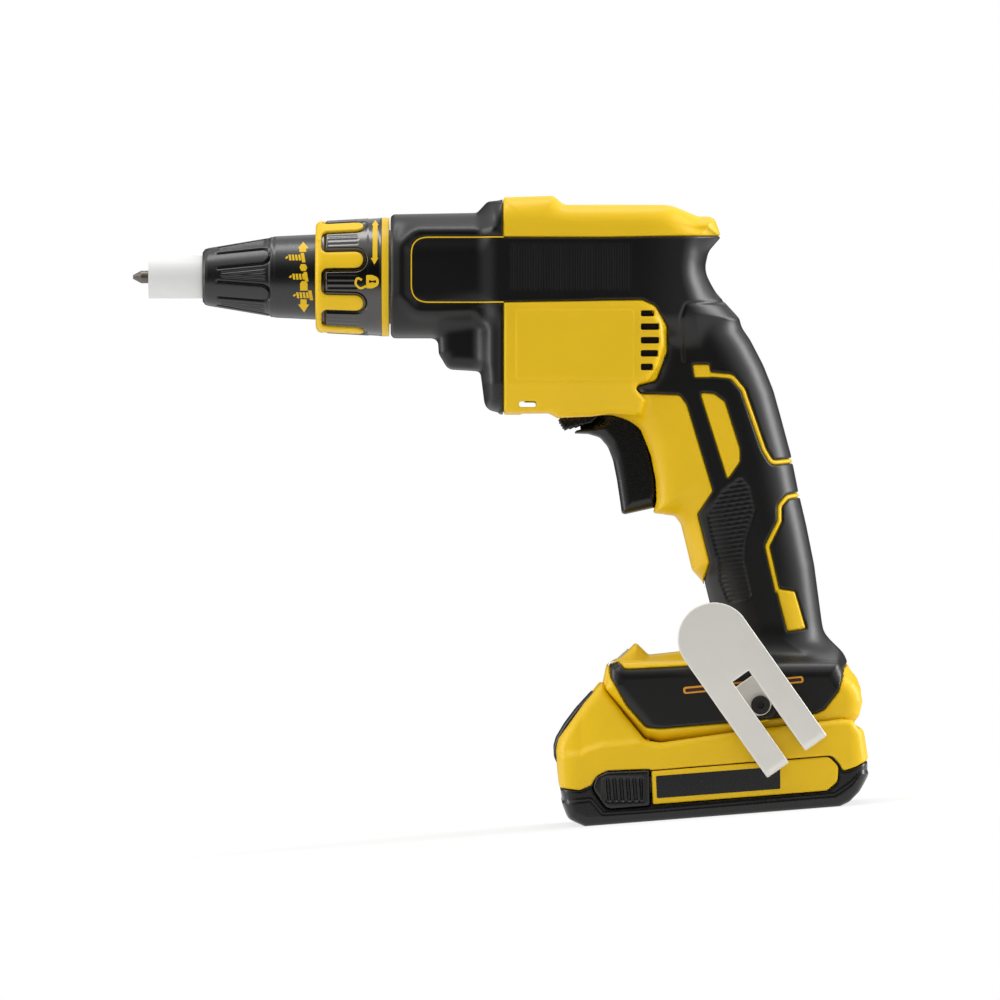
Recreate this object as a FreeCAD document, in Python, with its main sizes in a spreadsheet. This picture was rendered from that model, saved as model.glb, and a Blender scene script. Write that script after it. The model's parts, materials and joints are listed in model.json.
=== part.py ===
"""Cordless drywall screwdriver with a depth-setting nose and a slide-on battery pack.

Millimetres, +Z up. The tool stands on the flat base of its battery pack: the origin is the centre of that
base, +X runs to the rear of the tool and -Y is the side that carries the belt hook. The barrel is tilted
by base_tilt, so that the nose, at -X, points slightly up. Places on the barrel are distances behind the
front face of the housing. Outlines are pixel corners of the side view, each with its corner radius.
"""

import FreeCAD, Part
import Sketcher
import math
import os

from FreeCAD import Placement, Rotation, Vector

SIZES = {
    # Whole tool, bit tip to rear of pack along the barrel, and the gaps that pieces share
    "tool_length": 267.0,
    "base_tilt": 4.5,
    "overrun": 2.0,
    "seat_gap": 0.1,
    "running_gap": 0.05,
    "sliding_gap": 0.25,
    "spring_end_gap": 0.3,
    # Screw bit and its magnetic holder
    "bit_length": 25.0,
    "bit_reach": 5.8,
    "hex_across_flats": 6.35,
    "bit_neck_diameter": 4.6,
    "bit_neck_length": 9.0,
    "bit_point_length": 3.0,
    "bit_point_diameter": 1.4,
    "bit_socket_depth": 15.0,
    "magnet_diameter": 5.0,
    "magnet_length": 4.0,
    "holder_diameter": 10.4,
    "holder_length": 40.0,
    "shank_length": 20.0,
    "shank_grip": 16.0,
    # Depth locator and nosecone
    "locator_diameter": 15.6,
    "locator_bore": 12.0,
    "locator_length": 40.0,
    "locator_reach": 19.6,
    "locator_flange_diameter": 18.8,
    "locator_flange_length": 4.0,
    "nosecone_front_diameter": 18.8,
    "nosecone_lip_diameter": 20.8,
    "nosecone_lip_length": 2.0,
    "nosecone_grip_length": 22.0,
    "nosecone_ridge_step": 1.2,
    "nosecone_ridge_length": 2.6,
    "nosecone_taper_step": 1.4,
    "nosecone_tail_wall": 2.45,
    "nosecone_taper_length": 14.5,
    "nosecone_tail_length": 18.0,
    "nosecone_guide_length": 10.0,
    "nosecone_chamber_length": 31.0,
    "flute_diameter": 9.0,
    "flute_depth": 1.2,
    "flute_length": 19.5,
    "flute_count": 6,
    # Lock collar
    "collar_bore_gap": 1.9,
    "collar_wall": 2.9,
    "collar_taper": 2.6,
    "collar_skirt_wall": 1.95,
    "collar_length": 24.0,
    "collar_ring_length": 2.5,
    "collar_gap": 0.7,
    "band_length": 2.2,
    "band_thickness": 1.4,
    "finger_width": 6.4,
    "finger_length": 12.0,
    "finger_count": 8,
    "finger_first_angle": 16.0,
    # Gear case
    "sleeve_wall": 3.8,
    "sleeve_length": 20.0,
    "flange_step": 2.4,
    "flange_length": 5.0,
    "flange_stand_off": 1.0,
    "neck_wall": 4.0,
    "neck_length": 39.0,
    "bell_diameter": 45.6,
    "bell_length": 18.0,
    "bell_wall": 2.2,
    "pinion_lobe_diameter": 22.0,
    "plate_thickness": 5.0,
    "bush_wall": 2.0,
    "bush_length": 16.0,
    "case_ear_diameter": 6.0,
    "case_screw_diameter": 2.6,
    "case_screw_length": 12.0,
    "case_screw_head_diameter": 4.6,
    "case_screw_head_length": 2.0,
    # Spindle, clutch and gears
    "spindle_diameter": 14.0,
    "spindle_length": 70.0,
    "spindle_tail_diameter": 9.0,
    "spindle_tail_length": 22.0,
    "clutch_thickness": 6.0,
    "dog_height": 3.0,
    "dog_bore_gap": 1.0,
    "dog_width": 3.0,
    "dog_gap": 1.5,
    "gear_dog_height": 3.5,
    "dog_angle": 40.0,
    "dog_count": 3,
    "clutch_spring_wire": 1.2,
    "clutch_spring_diameter": 12.6,
    "clutch_spring_turns": 3,
    "gear_module": 0.7,
    "gear_teeth": 54,
    "pinion_teeth": 12,
    "pressure_angle": 25.0,
    "backlash": 0.1,
    "gear_width": 8.0,
    "pinion_width": 10.0,
    "gear_hub_diameter": 12.0,
    "gear_hub_length": 10.8,
    "gear_bearing_diameter": 22.0,
    "gear_bearing_width": 5.0,
    "circlip_diameter": 15.0,
    "circlip_thickness": 1.0,
    # Motor
    "shaft_diameter": 5.0,
    "shaft_overhang": 0.5,
    "motor_bearing_diameter": 16.0,
    "motor_bearing_width": 5.0,
    "rotor_diameter": 22.0,
    "rotor_length": 22.0,
    "air_gap": 0.5,
    "stator_diameter": 42.0,
    "stator_length": 20.0,
    "stator_offset": 7.6,
    "slot_count": 6,
    "slot_diameter": 8.8,
    "slot_circle_diameter": 31.6,
    "coil_gap": 0.2,
    "coil_overhang": 3.2,
    "sensor_board_diameter": 34.0,
    "sensor_board_thickness": 1.4,
    "sensor_board_bore": 13.0,
    "fan_diameter": 38.0,
    "fan_hub_diameter": 13.0,
    "fan_width": 6.5,
    "fan_disc_thickness": 1.5,
    "fan_blade_count": 11,
    "fan_blade_thickness": 1.2,
    "fan_gap": 1.0,
    # Housing
    "front_barrel_step": 0.9,
    "front_barrel_length": 33.0,
    "motor_side_room": 2.6,
    "body_rise": 29.2,
    "body_drop": 52.0,
    "body_length": 140.0,
    "body_top_radius": 11.0,
    "body_low_radius": 4.0,
    "bumper_side_step": 0.6,
    "bumper_length": 9.0,
    "chin_half_width": 17.4,
    "chin_top": 8.0,
    "tail_side_step": 1.0,
    "tail_length": 34.0,
    "handle_half_width": 17.0,
    "handle_edge_radius": 10.0,
    "foot_half_width": 33.0,
    "foot_front": 60.0,
    "foot_rear": 54.0,
    "foot_height": 60.0,
    "foot_corner_radius": 9.0,
    "housing_wall": 3.4,
    "overmould_thickness": 1.6,
    "rib_thickness": 2.5,
    "neck_rib_station": 6.0,
    "boss_diameter": 7.5,
    "screw_diameter": 3.0,
    "screw_length": 18.0,
    "screw_seat": 10.0,
    "screw_head_diameter": 5.6,
    "screw_head_length": 2.4,
    # Trigger, reversing lever and electrics
    "trigger_width": 17.0,
    "trigger_travel": 5.0,
    "trigger_stem_diameter": 5.0,
    "trigger_stem_length": 10.0,
    "trigger_spring_wire": 0.6,
    "trigger_spring_diameter": 6.6,
    "trigger_spring_turns": 3,
    "lever_width": 9.0,
    "lever_room_width": 18.0,
    "lever_pin_diameter": 4.0,
    "lever_pin_length": 2.0,
    "switch_width": 20.0,
    "control_width": 22.0,
    "led_diameter": 7.0,
    "led_depth": 5.0,
    "led_board_thickness": 1.2,
    "led_proud": 0.8,
    # Belt hook
    "hook_boss_diameter": 13.0,
    "hook_pad_half_width": 36.4,
    "hook_nut_diameter": 7.0,
    "hook_nut_length": 6.0,
    "hook_screw_diameter": 4.0,
    "hook_lean": 35.0,
    "hook_width": 26.3,
    "hook_length": 45.8,
    "hook_thickness": 1.6,
    "hook_gap": 9.0,
    "hook_slot_width": 7.2,
    "hook_slot_start": 16.4,
    "hook_base_start": 18.8,
    "hook_base_slot_start": 33.2,
    "hook_base_radius": 6.0,
    "hook_screw_length": 7.0,
    "hook_screw_head_diameter": 6.8,
    "hook_screw_head_length": 2.4,
    "hook_screw_socket": 2.5,
    # Battery rail
    "pack_top": 31.2,
    "rail_neck_half_width": 14.0,
    "rail_neck_height": 4.8,
    "rail_head_half_width": 17.0,
    "rail_head_height": 7.2,
    "tower_front": 22.0,
    "tower_rear": 40.0,
    "terminal_block_half_width": 15.0,
    "terminal_block_length": 8.0,
    "terminal_spacing": 7.6,
    "blade_thickness": 0.8,
    "blade_length": 12.0,
    "blade_height": 4.6,
    "clip_floor": 0.8,
    "socket_width": 2.6,
    # Battery pack
    "pack_half_width": 36.0,
    "pack_half_length": 57.0,
    "pack_height": 53.0,
    "pack_corner_radius": 9.0,
    "pack_wall": 2.2,
    "pack_split": 18.7,
    "pack_screw_reach": 51.0,
    "pack_screw_aside": 20.0,
    "pack_screw_seat": 7.5,
    "pack_screw_diameter": 2.6,
    "pack_screw_length": 16.0,
    "pack_screw_head_diameter": 4.6,
    "pack_screw_head_length": 2.0,
    "pack_boss_diameter": 5.2,
    "plate_depth": 1.2,
    "plate_proud": 0.3,
    "cell_count": 5,
    "cell_diameter": 18.3,
    "cell_length": 65.2,
    "cell_pitch": 19.2,
    "cell_height": 12.0,
    "comb_place": 27.0,
    "comb_thickness": 4.0,
    "comb_end": 6.4,
    "holder_margin": 1.6,
    "strap_thickness": 0.3,
    "strap_height": 8.0,
    "pack_board_half_length": 40.0,
    "pack_board_half_width": 26.0,
    "pack_board_thickness": 1.6,
    "button_width": 26.0,
    "button_lean": 35.0,
    "button_web_margin": 3.0,
    "release_spring_diameter": 5.0,
    "release_spring_wire": 0.6,
    "release_spring_length": 6.4,
    "release_spring_turns": 4,
}

# Sizes that follow from the ones above, from the spindle outwards
RULES = {
    "bush_diameter": "spindle_diameter + 2 * bush_wall",
    "sleeve_diameter": "bush_diameter + 2 * sleeve_wall",
    "nosecone_rear_diameter": "sleeve_diameter + 2 * (sliding_gap + nosecone_tail_wall)",
    "nosecone_ridge_diameter": "nosecone_rear_diameter - nosecone_taper_step",
    "nosecone_grip_diameter": "nosecone_ridge_diameter - nosecone_ridge_step",
    "collar_bore": "nosecone_rear_diameter + 2 * collar_bore_gap",
    "collar_front_diameter": "collar_bore + 2 * collar_wall",
    "collar_rear_diameter": "collar_front_diameter + collar_taper",
    "flange_diameter": "collar_rear_diameter - 2 * (collar_skirt_wall + sliding_gap)",
    "neck_diameter": "flange_diameter - 2 * flange_step",
    "neck_bore": "neck_diameter - 2 * neck_wall",
    "dog_ring_bore": "spindle_diameter + 2 * dog_bore_gap",
    "clutch_diameter": "dog_ring_bore + 2 * dog_width",
    "front_barrel_diameter": "collar_rear_diameter + 2 * front_barrel_step",
    "body_half_width": "stator_diameter / 2 + motor_side_room + housing_wall",
    "bumper_half_width": "front_barrel_diameter / 2 + bumper_side_step",
    "tail_half_width": "handle_half_width + tail_side_step",
}

BARREL_DATUM_PIXEL = (391.0, 277.0)
BASE_CENTRE_PIXEL = (715.5, 813.2)
BIT_TIP_PIXEL = 133.0
PACK_REAR_PIXEL = 867.0

document = FreeCAD.newDocument("drywall_screwdriver")
sheet = document.addObject("Spreadsheet::Sheet", "Sizes")
pieces = []


class Size:
    """A number worked out from the sheet, with the expression that a feature is bound to."""

    def __init__(self, value, text):
        self.value = float(value)
        self.text = text

    def __add__(self, other):
        other = as_size(other)
        return Size(self.value + other.value, f"({self.text} + {other.text})")

    def __sub__(self, other):
        other = as_size(other)
        return Size(self.value - other.value, f"({self.text} - {other.text})")

    def __mul__(self, other):
        other = as_size(other)
        return Size(self.value * other.value, f"({self.text} * {other.text})")

    def __truediv__(self, other):
        other = as_size(other)
        return Size(self.value / other.value, f"({self.text} / {other.text})")

    def __neg__(self):
        return Size(-self.value, f"(-1 * {self.text})")


def as_size(number):
    return number if isinstance(number, Size) else Size(number, repr(number))


def fill_sheet():
    contents = {name: str(value) for name, value in SIZES.items()}
    contents.update({name: "=" + rule for name, rule in RULES.items()})
    for row, name in enumerate(contents, start=1):
        sheet.set(f"A{row}", name)
        sheet.setAlias(f"B{row}", name)
    for row, content in enumerate(contents.values(), start=1):
        sheet.set(f"B{row}", content)
    document.recompute()


class Sheet:
    """Sizes by name, so that size.bit_length reads the cell with that alias."""

    def __getattr__(self, name):
        return Size(sheet.get(name), "Sizes." + name)


size = Sheet()
ZERO = as_size(0)
fill_sheet()

# Photograph to tool frame
pixel = size.tool_length / (PACK_REAR_PIXEL - BIT_TIP_PIXEL)
TILT = math.radians(size.base_tilt.value)
REARWARDS = Vector(math.cos(TILT), 0, -math.sin(TILT))
UPWARDS = Vector(math.sin(TILT), 0, math.cos(TILT))
SIDEWAYS = Vector(0, 1, 0)


def photo(across, down):
    """Point of the middle plane that a pixel of the side view shows."""
    right = REARWARDS * ((across - BASE_CENTRE_PIXEL[0]) * pixel.value)
    up = UPWARDS * ((BASE_CENTRE_PIXEL[1] - down) * pixel.value)
    return right + up


BARREL_DATUM = photo(*BARREL_DATUM_PIXEL)
BARREL_TURN = Rotation(-UPWARDS, SIDEWAYS, REARWARDS, "ZXY")


def barrel(station, below=ZERO):
    """Placement on the barrel: local Z runs rearwards, local X down and local Y to the far side."""
    point = BARREL_DATUM + REARWARDS * as_size(station).value - UPWARDS * as_size(below).value
    return Placement(point, BARREL_TURN)


# Features bound to the sheet
def bind(feature, **properties):
    for name, amount in properties.items():
        feature.setExpression(name, as_size(amount).text)
    return feature


def piece(feature, label):
    feature.Label = label
    pieces.append(feature)
    return feature


def cylinder(diameter, length, placement):
    rod = document.addObject("Part::Cylinder", "Cylinder")
    bind(rod, Radius=diameter / 2, Height=length)
    rod.Placement = placement
    return rod


def cone(start_diameter, end_diameter, length, placement):
    taper = document.addObject("Part::Cone", "Cone")
    bind(taper, Radius1=start_diameter / 2, Radius2=end_diameter / 2, Height=length)
    taper.Placement = placement
    return taper


def hexagon(across_flats, length, placement):
    bar = document.addObject("Part::Prism", "Prism")
    bar.Polygon = 6
    bind(bar, Circumradius=across_flats / math.sqrt(3), Height=length)
    bar.Placement = placement
    return bar


def box(length, width, height, placement):
    """Block that starts at its placement along local X and Z and is centred on local Y."""
    block = document.addObject("Part::Box", "Box")
    bind(block, Length=length, Width=width, Height=height)
    block.Placement = placement.multiply(Placement(Vector(0, -as_size(width).value / 2, 0), Rotation()))
    return block


def block_between(start, end):
    """Block from one corner to the other, each given as three sizes."""
    length, width, height = (as_size(b) - as_size(a) for a, b in zip(start, end))
    block = document.addObject("Part::Box", "Box")
    bind(block, Length=length, Width=width, Height=height)
    block.Placement.Base = Vector(*(as_size(a).value for a in start))
    return block


def fuse(*features):
    if len(features) == 1:
        return features[0]
    union = document.addObject("Part::MultiFuse", "Union")
    union.Shapes = list(features)
    return union


def cut(base, *tools):
    rest = document.addObject("Part::Cut", "Cut")
    rest.Base = base
    rest.Tool = fuse(*tools)
    return rest


def common(first, second):
    overlap = document.addObject("Part::Common", "Common")
    overlap.Base = first
    overlap.Tool = second
    return overlap


def mirrored(feature):
    """The same shape on the other side of the middle plane."""
    image = document.addObject("Part::Mirroring", "Mirror")
    image.Source = feature
    image.Normal = SIDEWAYS
    return image


def plane_sketch(body, role):
    sketch = body.newObject("Sketcher::SketchObject", "Sketch")
    plane = next(item for item in body.Origin.OriginFeatures if item.Role == role)
    sketch.AttachmentSupport = [(plane, "")]
    sketch.MapMode = "FlatFace"
    return sketch


def hold(sketch, kind, edge, amount, axis):
    """Tie the start of an edge to the sketch origin, by its axis where the distance is nothing."""
    amount = as_size(amount)
    if amount.value == 0:
        sketch.addConstraint(Sketcher.Constraint("PointOnObject", edge, 1, axis))
        return
    index = sketch.addConstraint(Sketcher.Constraint(kind, -1, 1, edge, 1, amount.value))
    sketch.setExpression(f"Constraints[{index}]", amount.text)


def turned(points, placement):
    """Body turned about local Z from (diameter, station) corners."""
    body = document.addObject("PartDesign::Body", "Turned")
    sketch = plane_sketch(body, "XZ_Plane")
    corners = [(as_size(diameter) / 2, as_size(station)) for diameter, station in points]
    spots = [Vector(radius.value, station.value, 0) for radius, station in corners]
    count = len(spots)
    edges = [sketch.addGeometry(Part.LineSegment(spots[i], spots[(i + 1) % count])) for i in range(count)]
    for i, (radius, station) in enumerate(corners):
        sketch.addConstraint(Sketcher.Constraint("Coincident", edges[i - 1], 2, edges[i], 1))
        hold(sketch, "DistanceX", edges[i], radius, -2)
        hold(sketch, "DistanceY", edges[i], station, -1)
    revolution = body.newObject("PartDesign::Revolution", "Revolution")
    revolution.Profile = sketch
    revolution.ReferenceAxis = (sketch, ["V_Axis"])
    revolution.Angle = 360
    body.Placement = placement
    return body


# Outlines with rounded corners
CORNER_ROOM_SHARE = 0.49
STRAIGHT_ANGLE = 1e-3
SAME_PLACE = 1e-6


def corner_parts(corners):
    """Start, middle and end of the arc at each corner of (point, radius) pairs."""
    parts = []
    count = len(corners)
    for i, (point, radius) in enumerate(corners):
        before = corners[i - 1][0] - point
        after = corners[(i + 1) % count][0] - point
        half = before.getAngle(after) / 2
        room = CORNER_ROOM_SHARE * min(before.Length, after.Length)
        reach = min(radius / math.tan(half), room) if half < math.pi / 2 - STRAIGHT_ANGLE else 0
        if reach < SAME_PLACE:
            parts.append((point, None, point))
            continue
        fitted = reach * math.tan(half)
        before.normalize()
        after.normalize()
        inward = before + after
        inward.normalize()
        middle = point + inward * (fitted / math.sin(half) - fitted)
        parts.append((point + before * reach, middle, point + after * reach))
    return parts


def outline_curves(corners):
    curves = []
    parts = corner_parts(corners)
    for i, (start, middle, end) in enumerate(parts):
        if middle is not None:
            curves.append(Part.Arc(start, middle, end))
        following = parts[(i + 1) % len(parts)][0]
        if (following - end).Length > SAME_PLACE:
            curves.append(Part.LineSegment(end, following))
    return curves


def inset(corners, distance):
    """The outline moved inwards: outer corners get tighter and inner ones wider."""
    count = len(corners)
    area = sum(corners[i - 1][0].cross(corners[i][0]).z for i in range(count))
    turn = 1 if area > 0 else -1
    moved = []
    for i, (point, radius) in enumerate(corners):
        ahead = corners[(i + 1) % count][0] - point
        behind = point - corners[i - 1][0]
        ahead.normalize()
        behind.normalize()
        normals = [Vector(-line.y, line.x, 0) * turn for line in (behind, ahead)]
        middle = normals[0] + normals[1]
        shift = middle * (2 * distance / middle.dot(middle))
        bulges = behind.cross(ahead).z * turn > 0
        moved.append((point + shift, max(radius - distance, 0) if bulges else radius + distance))
    return moved


def photo_corners(table):
    """Pixel corners (across, down, radius) as flat points of the middle plane."""
    corners = []
    for across, down, radius in table:
        point = photo(across, down)
        corners.append((Vector(point.x, point.z, 0), radius * pixel.value))
    return corners


def rectangle(left, right, low, high, radius):
    spots = [(left, low), (right, low), (right, high), (left, high)]
    return [(Vector(as_size(a).value, as_size(b).value, 0), as_size(radius).value) for a, b in spots]


def prism(corners, depth, placement, role="XZ_Plane"):
    """Body padded from an outline: towards -Y on the upright plane, towards +Z on the flat one."""
    body = document.addObject("PartDesign::Body", "Prism")
    sketch = plane_sketch(body, role)
    sketch.addGeometry(outline_curves(corners))
    pad = body.newObject("PartDesign::Pad", "Pad")
    pad.Profile = sketch
    bind(pad, Length=depth)
    body.Placement = placement
    return body


def side_prism(corners, start, end):
    """Outline of the middle plane carried from start to end, both measured towards the hook side."""
    base = Vector(0, -as_size(start).value, 0)
    return prism(corners, as_size(end) - as_size(start), Placement(base, Rotation()))


def wire_coil(wire, coil_diameter, length, turns, placement):
    """Open coil spring along local Z, with a gap at each end of the length that it fills."""
    end = wire.value / 2 + size.spring_end_gap.value
    reach = length.value - end * 2
    helix = Part.makeHelix(reach / turns.value, reach, coil_diameter.value / 2)
    start = Vector(coil_diameter.value / 2, 0, 0)
    section = Part.Wire(Part.makeCircle(wire.value / 2, start, SIDEWAYS))
    coil = Part.Wire(helix.Edges).makePipeShell([section], True, True)
    spring = document.addObject("Part::Feature", "Coil")
    spring.Shape = coil
    spring.Placement = placement.multiply(Placement(Vector(0, 0, end), Rotation()))
    return spring


# Stations along the barrel
bit_tip = pixel * (BIT_TIP_PIXEL - BARREL_DATUM_PIXEL[0])
locator_front = bit_tip + size.bit_reach
locator_rear = locator_front + size.locator_length
nosecone_front = locator_front + size.locator_reach
nosecone_lip = nosecone_front + size.nosecone_lip_length
nosecone_ridge = nosecone_lip + size.nosecone_grip_length
nosecone_taper = nosecone_ridge + size.nosecone_ridge_length
nosecone_tail = nosecone_taper + size.nosecone_taper_length
nosecone_rear = nosecone_tail + size.nosecone_tail_length
nosecone_chamber = nosecone_front + size.nosecone_guide_length
sleeve_pocket = nosecone_chamber + size.nosecone_chamber_length
ring_rear = -size.collar_gap
ring_front = ring_rear - size.collar_ring_length
collar_rear = ring_front - size.seat_gap
collar_front = collar_rear - size.collar_length
flange_rear = -size.flange_stand_off
flange_front = flange_rear - size.flange_length
sleeve_front = flange_front - size.sleeve_length
bell_front = flange_rear + size.neck_length
plate_front = bell_front + size.bell_length
plate_rear = plate_front + size.plate_thickness
holder_front = bit_tip + size.bit_length - size.bit_socket_depth
holder_rear = holder_front + size.holder_length
shank_rear = holder_rear + size.shank_length
spindle_front = shank_rear - size.shank_grip
flange_start = spindle_front + size.spindle_length
dogs_start = flange_start + size.clutch_thickness
gear_dogs_start = dogs_start + size.dog_height + size.dog_gap
gear_front = gear_dogs_start + size.gear_dog_height
gear_rear = gear_front + size.gear_width
hub_rear = gear_rear + size.gear_hub_length
gear_distance = size.gear_module * (size.gear_teeth + size.pinion_teeth) / 2
pinion_front = gear_front - (size.pinion_width - size.gear_width) / 2
stator_front = plate_rear + size.stator_offset
stator_rear = stator_front + size.stator_length
coil_front = stator_front - size.coil_overhang
coil_rear = stator_rear + size.coil_overhang
fan_front = coil_rear + size.fan_gap
fan_rear = fan_front + size.fan_width
rear_bearing_front = fan_rear + size.fan_gap
rear_bearing_rear = rear_bearing_front + size.motor_bearing_width
shaft_rear = rear_bearing_rear + size.shaft_overhang


# Nose
def make_bit():
    shank = hexagon(size.hex_across_flats, size.bit_length - size.bit_neck_length,
                    barrel(bit_tip + size.bit_neck_length))
    neck = cylinder(size.bit_neck_diameter, size.bit_neck_length - size.bit_point_length,
                    barrel(bit_tip + size.bit_point_length))
    point = cone(size.bit_point_diameter, size.bit_neck_diameter, size.bit_point_length, barrel(bit_tip))
    piece(fuse(shank, neck, point), "screw_bit")


def make_holder():
    """Magnetic holder: a round body with a hexagonal socket and a hexagonal shank in the spindle."""
    body = cylinder(size.holder_diameter, size.holder_length, barrel(holder_front))
    shank = hexagon(size.hex_across_flats, size.shank_length + size.overrun,
                    barrel(holder_rear - size.overrun))
    socket_depth = size.bit_socket_depth + size.seat_gap
    socket = hexagon(size.hex_across_flats + size.seat_gap * 2, socket_depth + size.overrun,
                     barrel(holder_front - size.overrun))
    magnet_front = holder_front + socket_depth
    seat = cylinder(size.magnet_diameter + size.seat_gap * 2, size.magnet_length + size.seat_gap * 2,
                    barrel(magnet_front))
    piece(cut(fuse(body, shank), socket, seat), "bit_holder")
    piece(cylinder(size.magnet_diameter, size.magnet_length, barrel(magnet_front + size.seat_gap)),
          "bit_magnet")


def make_locator():
    flange_front_edge = locator_rear - size.locator_flange_length
    profile = [
        (size.locator_bore, locator_front),
        (size.locator_diameter, locator_front),
        (size.locator_diameter, flange_front_edge),
        (size.locator_flange_diameter, flange_front_edge),
        (size.locator_flange_diameter, locator_rear),
        (size.locator_bore, locator_rear),
    ]
    piece(turned(profile, barrel(ZERO)), "depth_locator")


def make_nosecone():
    """Fluted cone that screws the locator in and out, on the sleeve of the gear case."""
    guide = size.locator_diameter + size.sliding_gap * 2
    chamber = size.locator_flange_diameter + size.sliding_gap * 2
    pocket = size.sleeve_diameter + size.sliding_gap * 2
    profile = [
        (guide, nosecone_front),
        (size.nosecone_front_diameter, nosecone_front),
        (size.nosecone_lip_diameter, nosecone_lip),
        (size.nosecone_grip_diameter, nosecone_ridge),
        (size.nosecone_ridge_diameter, nosecone_taper),
        (size.nosecone_rear_diameter, nosecone_tail),
        (size.nosecone_rear_diameter, nosecone_rear),
        (pocket, nosecone_rear),
        (pocket, sleeve_pocket),
        (chamber, sleeve_pocket),
        (chamber, nosecone_chamber),
        (guide, nosecone_chamber),
    ]
    cone_body = turned(profile, barrel(ZERO))
    flutes = []
    slope = math.atan2((size.nosecone_grip_diameter - size.nosecone_lip_diameter).value / 2,
                       size.nosecone_grip_length.value)
    out = (size.nosecone_lip_diameter + size.flute_diameter) / 2 - size.flute_depth
    count = int(size.flute_count.value)
    for step in range(count):
        around = Rotation(Vector(0, 0, 1), 360 * (step + 0.5) / count)
        lean = Rotation(SIDEWAYS, math.degrees(slope))
        local = Placement(Vector(), around).multiply(Placement(Vector(out.value, 0, 0), lean))
        flutes.append(cylinder(size.flute_diameter, size.flute_length,
                               barrel(nosecone_lip).multiply(local)))
    piece(cut(cone_body, *flutes), "nosecone")


def collar_diameter(station):
    share = (station.value - collar_front.value) / (collar_rear.value - collar_front.value)
    return size.collar_front_diameter + (size.collar_rear_diameter - size.collar_front_diameter) * share


def make_collar():
    """Lock collar with a yellow front band, whose fingers lie in slots of the collar, and a rear ring."""
    bore = size.collar_bore
    pocket = size.flange_diameter + size.sliding_gap * 2
    pocket_front = flange_front - size.sliding_gap
    profile = [
        (bore, collar_front),
        (size.collar_front_diameter, collar_front),
        (size.collar_rear_diameter, collar_rear),
        (pocket, collar_rear),
        (pocket, pocket_front),
        (bore, pocket_front),
    ]
    body = turned(profile, barrel(ZERO))
    band_rear = collar_front + size.band_length
    depth = size.band_thickness * 2

    def band_blank(gap):
        """Front ring and eight fingers, larger all round by the gap."""
        ring_profile = [
            (size.collar_front_diameter - depth - gap * 2, collar_front),
            (size.collar_front_diameter, collar_front),
            (collar_diameter(band_rear + gap), band_rear + gap),
            (size.collar_front_diameter - depth - gap * 2, band_rear + gap),
        ]
        fingers = []
        low = (size.collar_front_diameter - depth) / 2 - gap
        high = size.collar_rear_diameter / 2 + size.overrun - low
        count = int(size.finger_count.value)
        for step in range(count):
            angle = 360 * step / count + size.finger_first_angle.value
            turn = Placement(Vector(), Rotation(Vector(0, 0, 1), angle))
            lift = Placement(Vector(low.value, 0, 0), Rotation())
            place = barrel(collar_front).multiply(turn).multiply(lift)
            fingers.append(box(high, size.finger_width + gap * 2, size.finger_length + gap, place))
        return fuse(turned(ring_profile, barrel(ZERO)), *fingers)

    skin_profile = [
        (ZERO, collar_front),
        (size.collar_front_diameter, collar_front),
        (size.collar_rear_diameter, collar_rear),
        (ZERO, collar_rear),
    ]
    piece(common(band_blank(ZERO), turned(skin_profile, barrel(ZERO))), "collar_band")
    piece(cut(body, band_blank(size.seat_gap)), "lock_collar")
    ring_profile = [
        (pocket, ring_front),
        (size.collar_rear_diameter, ring_front),
        (size.collar_rear_diameter, ring_rear),
        (pocket, ring_rear),
    ]
    piece(turned(ring_profile, barrel(ZERO)), "collar_ring")


make_bit()
make_holder()
make_locator()
make_nosecone()
make_collar()

# Gear case and clutch
def bearing(outside, bore, width, placement, label):
    profile = [
        (bore, ZERO),
        (outside, ZERO),
        (outside, width),
        (bore, width),
    ]
    piece(turned(profile, placement), label)


def around_barrel(station, angle, radius):
    """Placement turned about the barrel axis, with local X pointing outwards; angle 0 points down."""
    turn = Placement(Vector(), Rotation(Vector(0, 0, 1), angle))
    return barrel(station).multiply(turn).multiply(Placement(Vector(as_size(radius).value, 0, 0),
                                                             Rotation()))


def case_screw_spots():
    """Two ears on the shoulders of the bell and one on each side of the pinion lobe."""
    shoulder = (size.bell_diameter + size.case_ear_diameter) / 2 - size.bell_wall
    aside = (size.pinion_lobe_diameter + size.case_ear_diameter) / 2 - size.bell_wall
    spots = [around_barrel(plate_rear, angle, shoulder) for angle in (135, 225)]
    for side in (1, -1):
        shift = Placement(Vector(0, side * aside.value, 0), Rotation())
        spots.append(barrel(plate_rear, gear_distance).multiply(shift))
    return spots


def behind(placement, distance):
    return placement.multiply(Placement(Vector(0, 0, as_size(distance).value), Rotation()))


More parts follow.
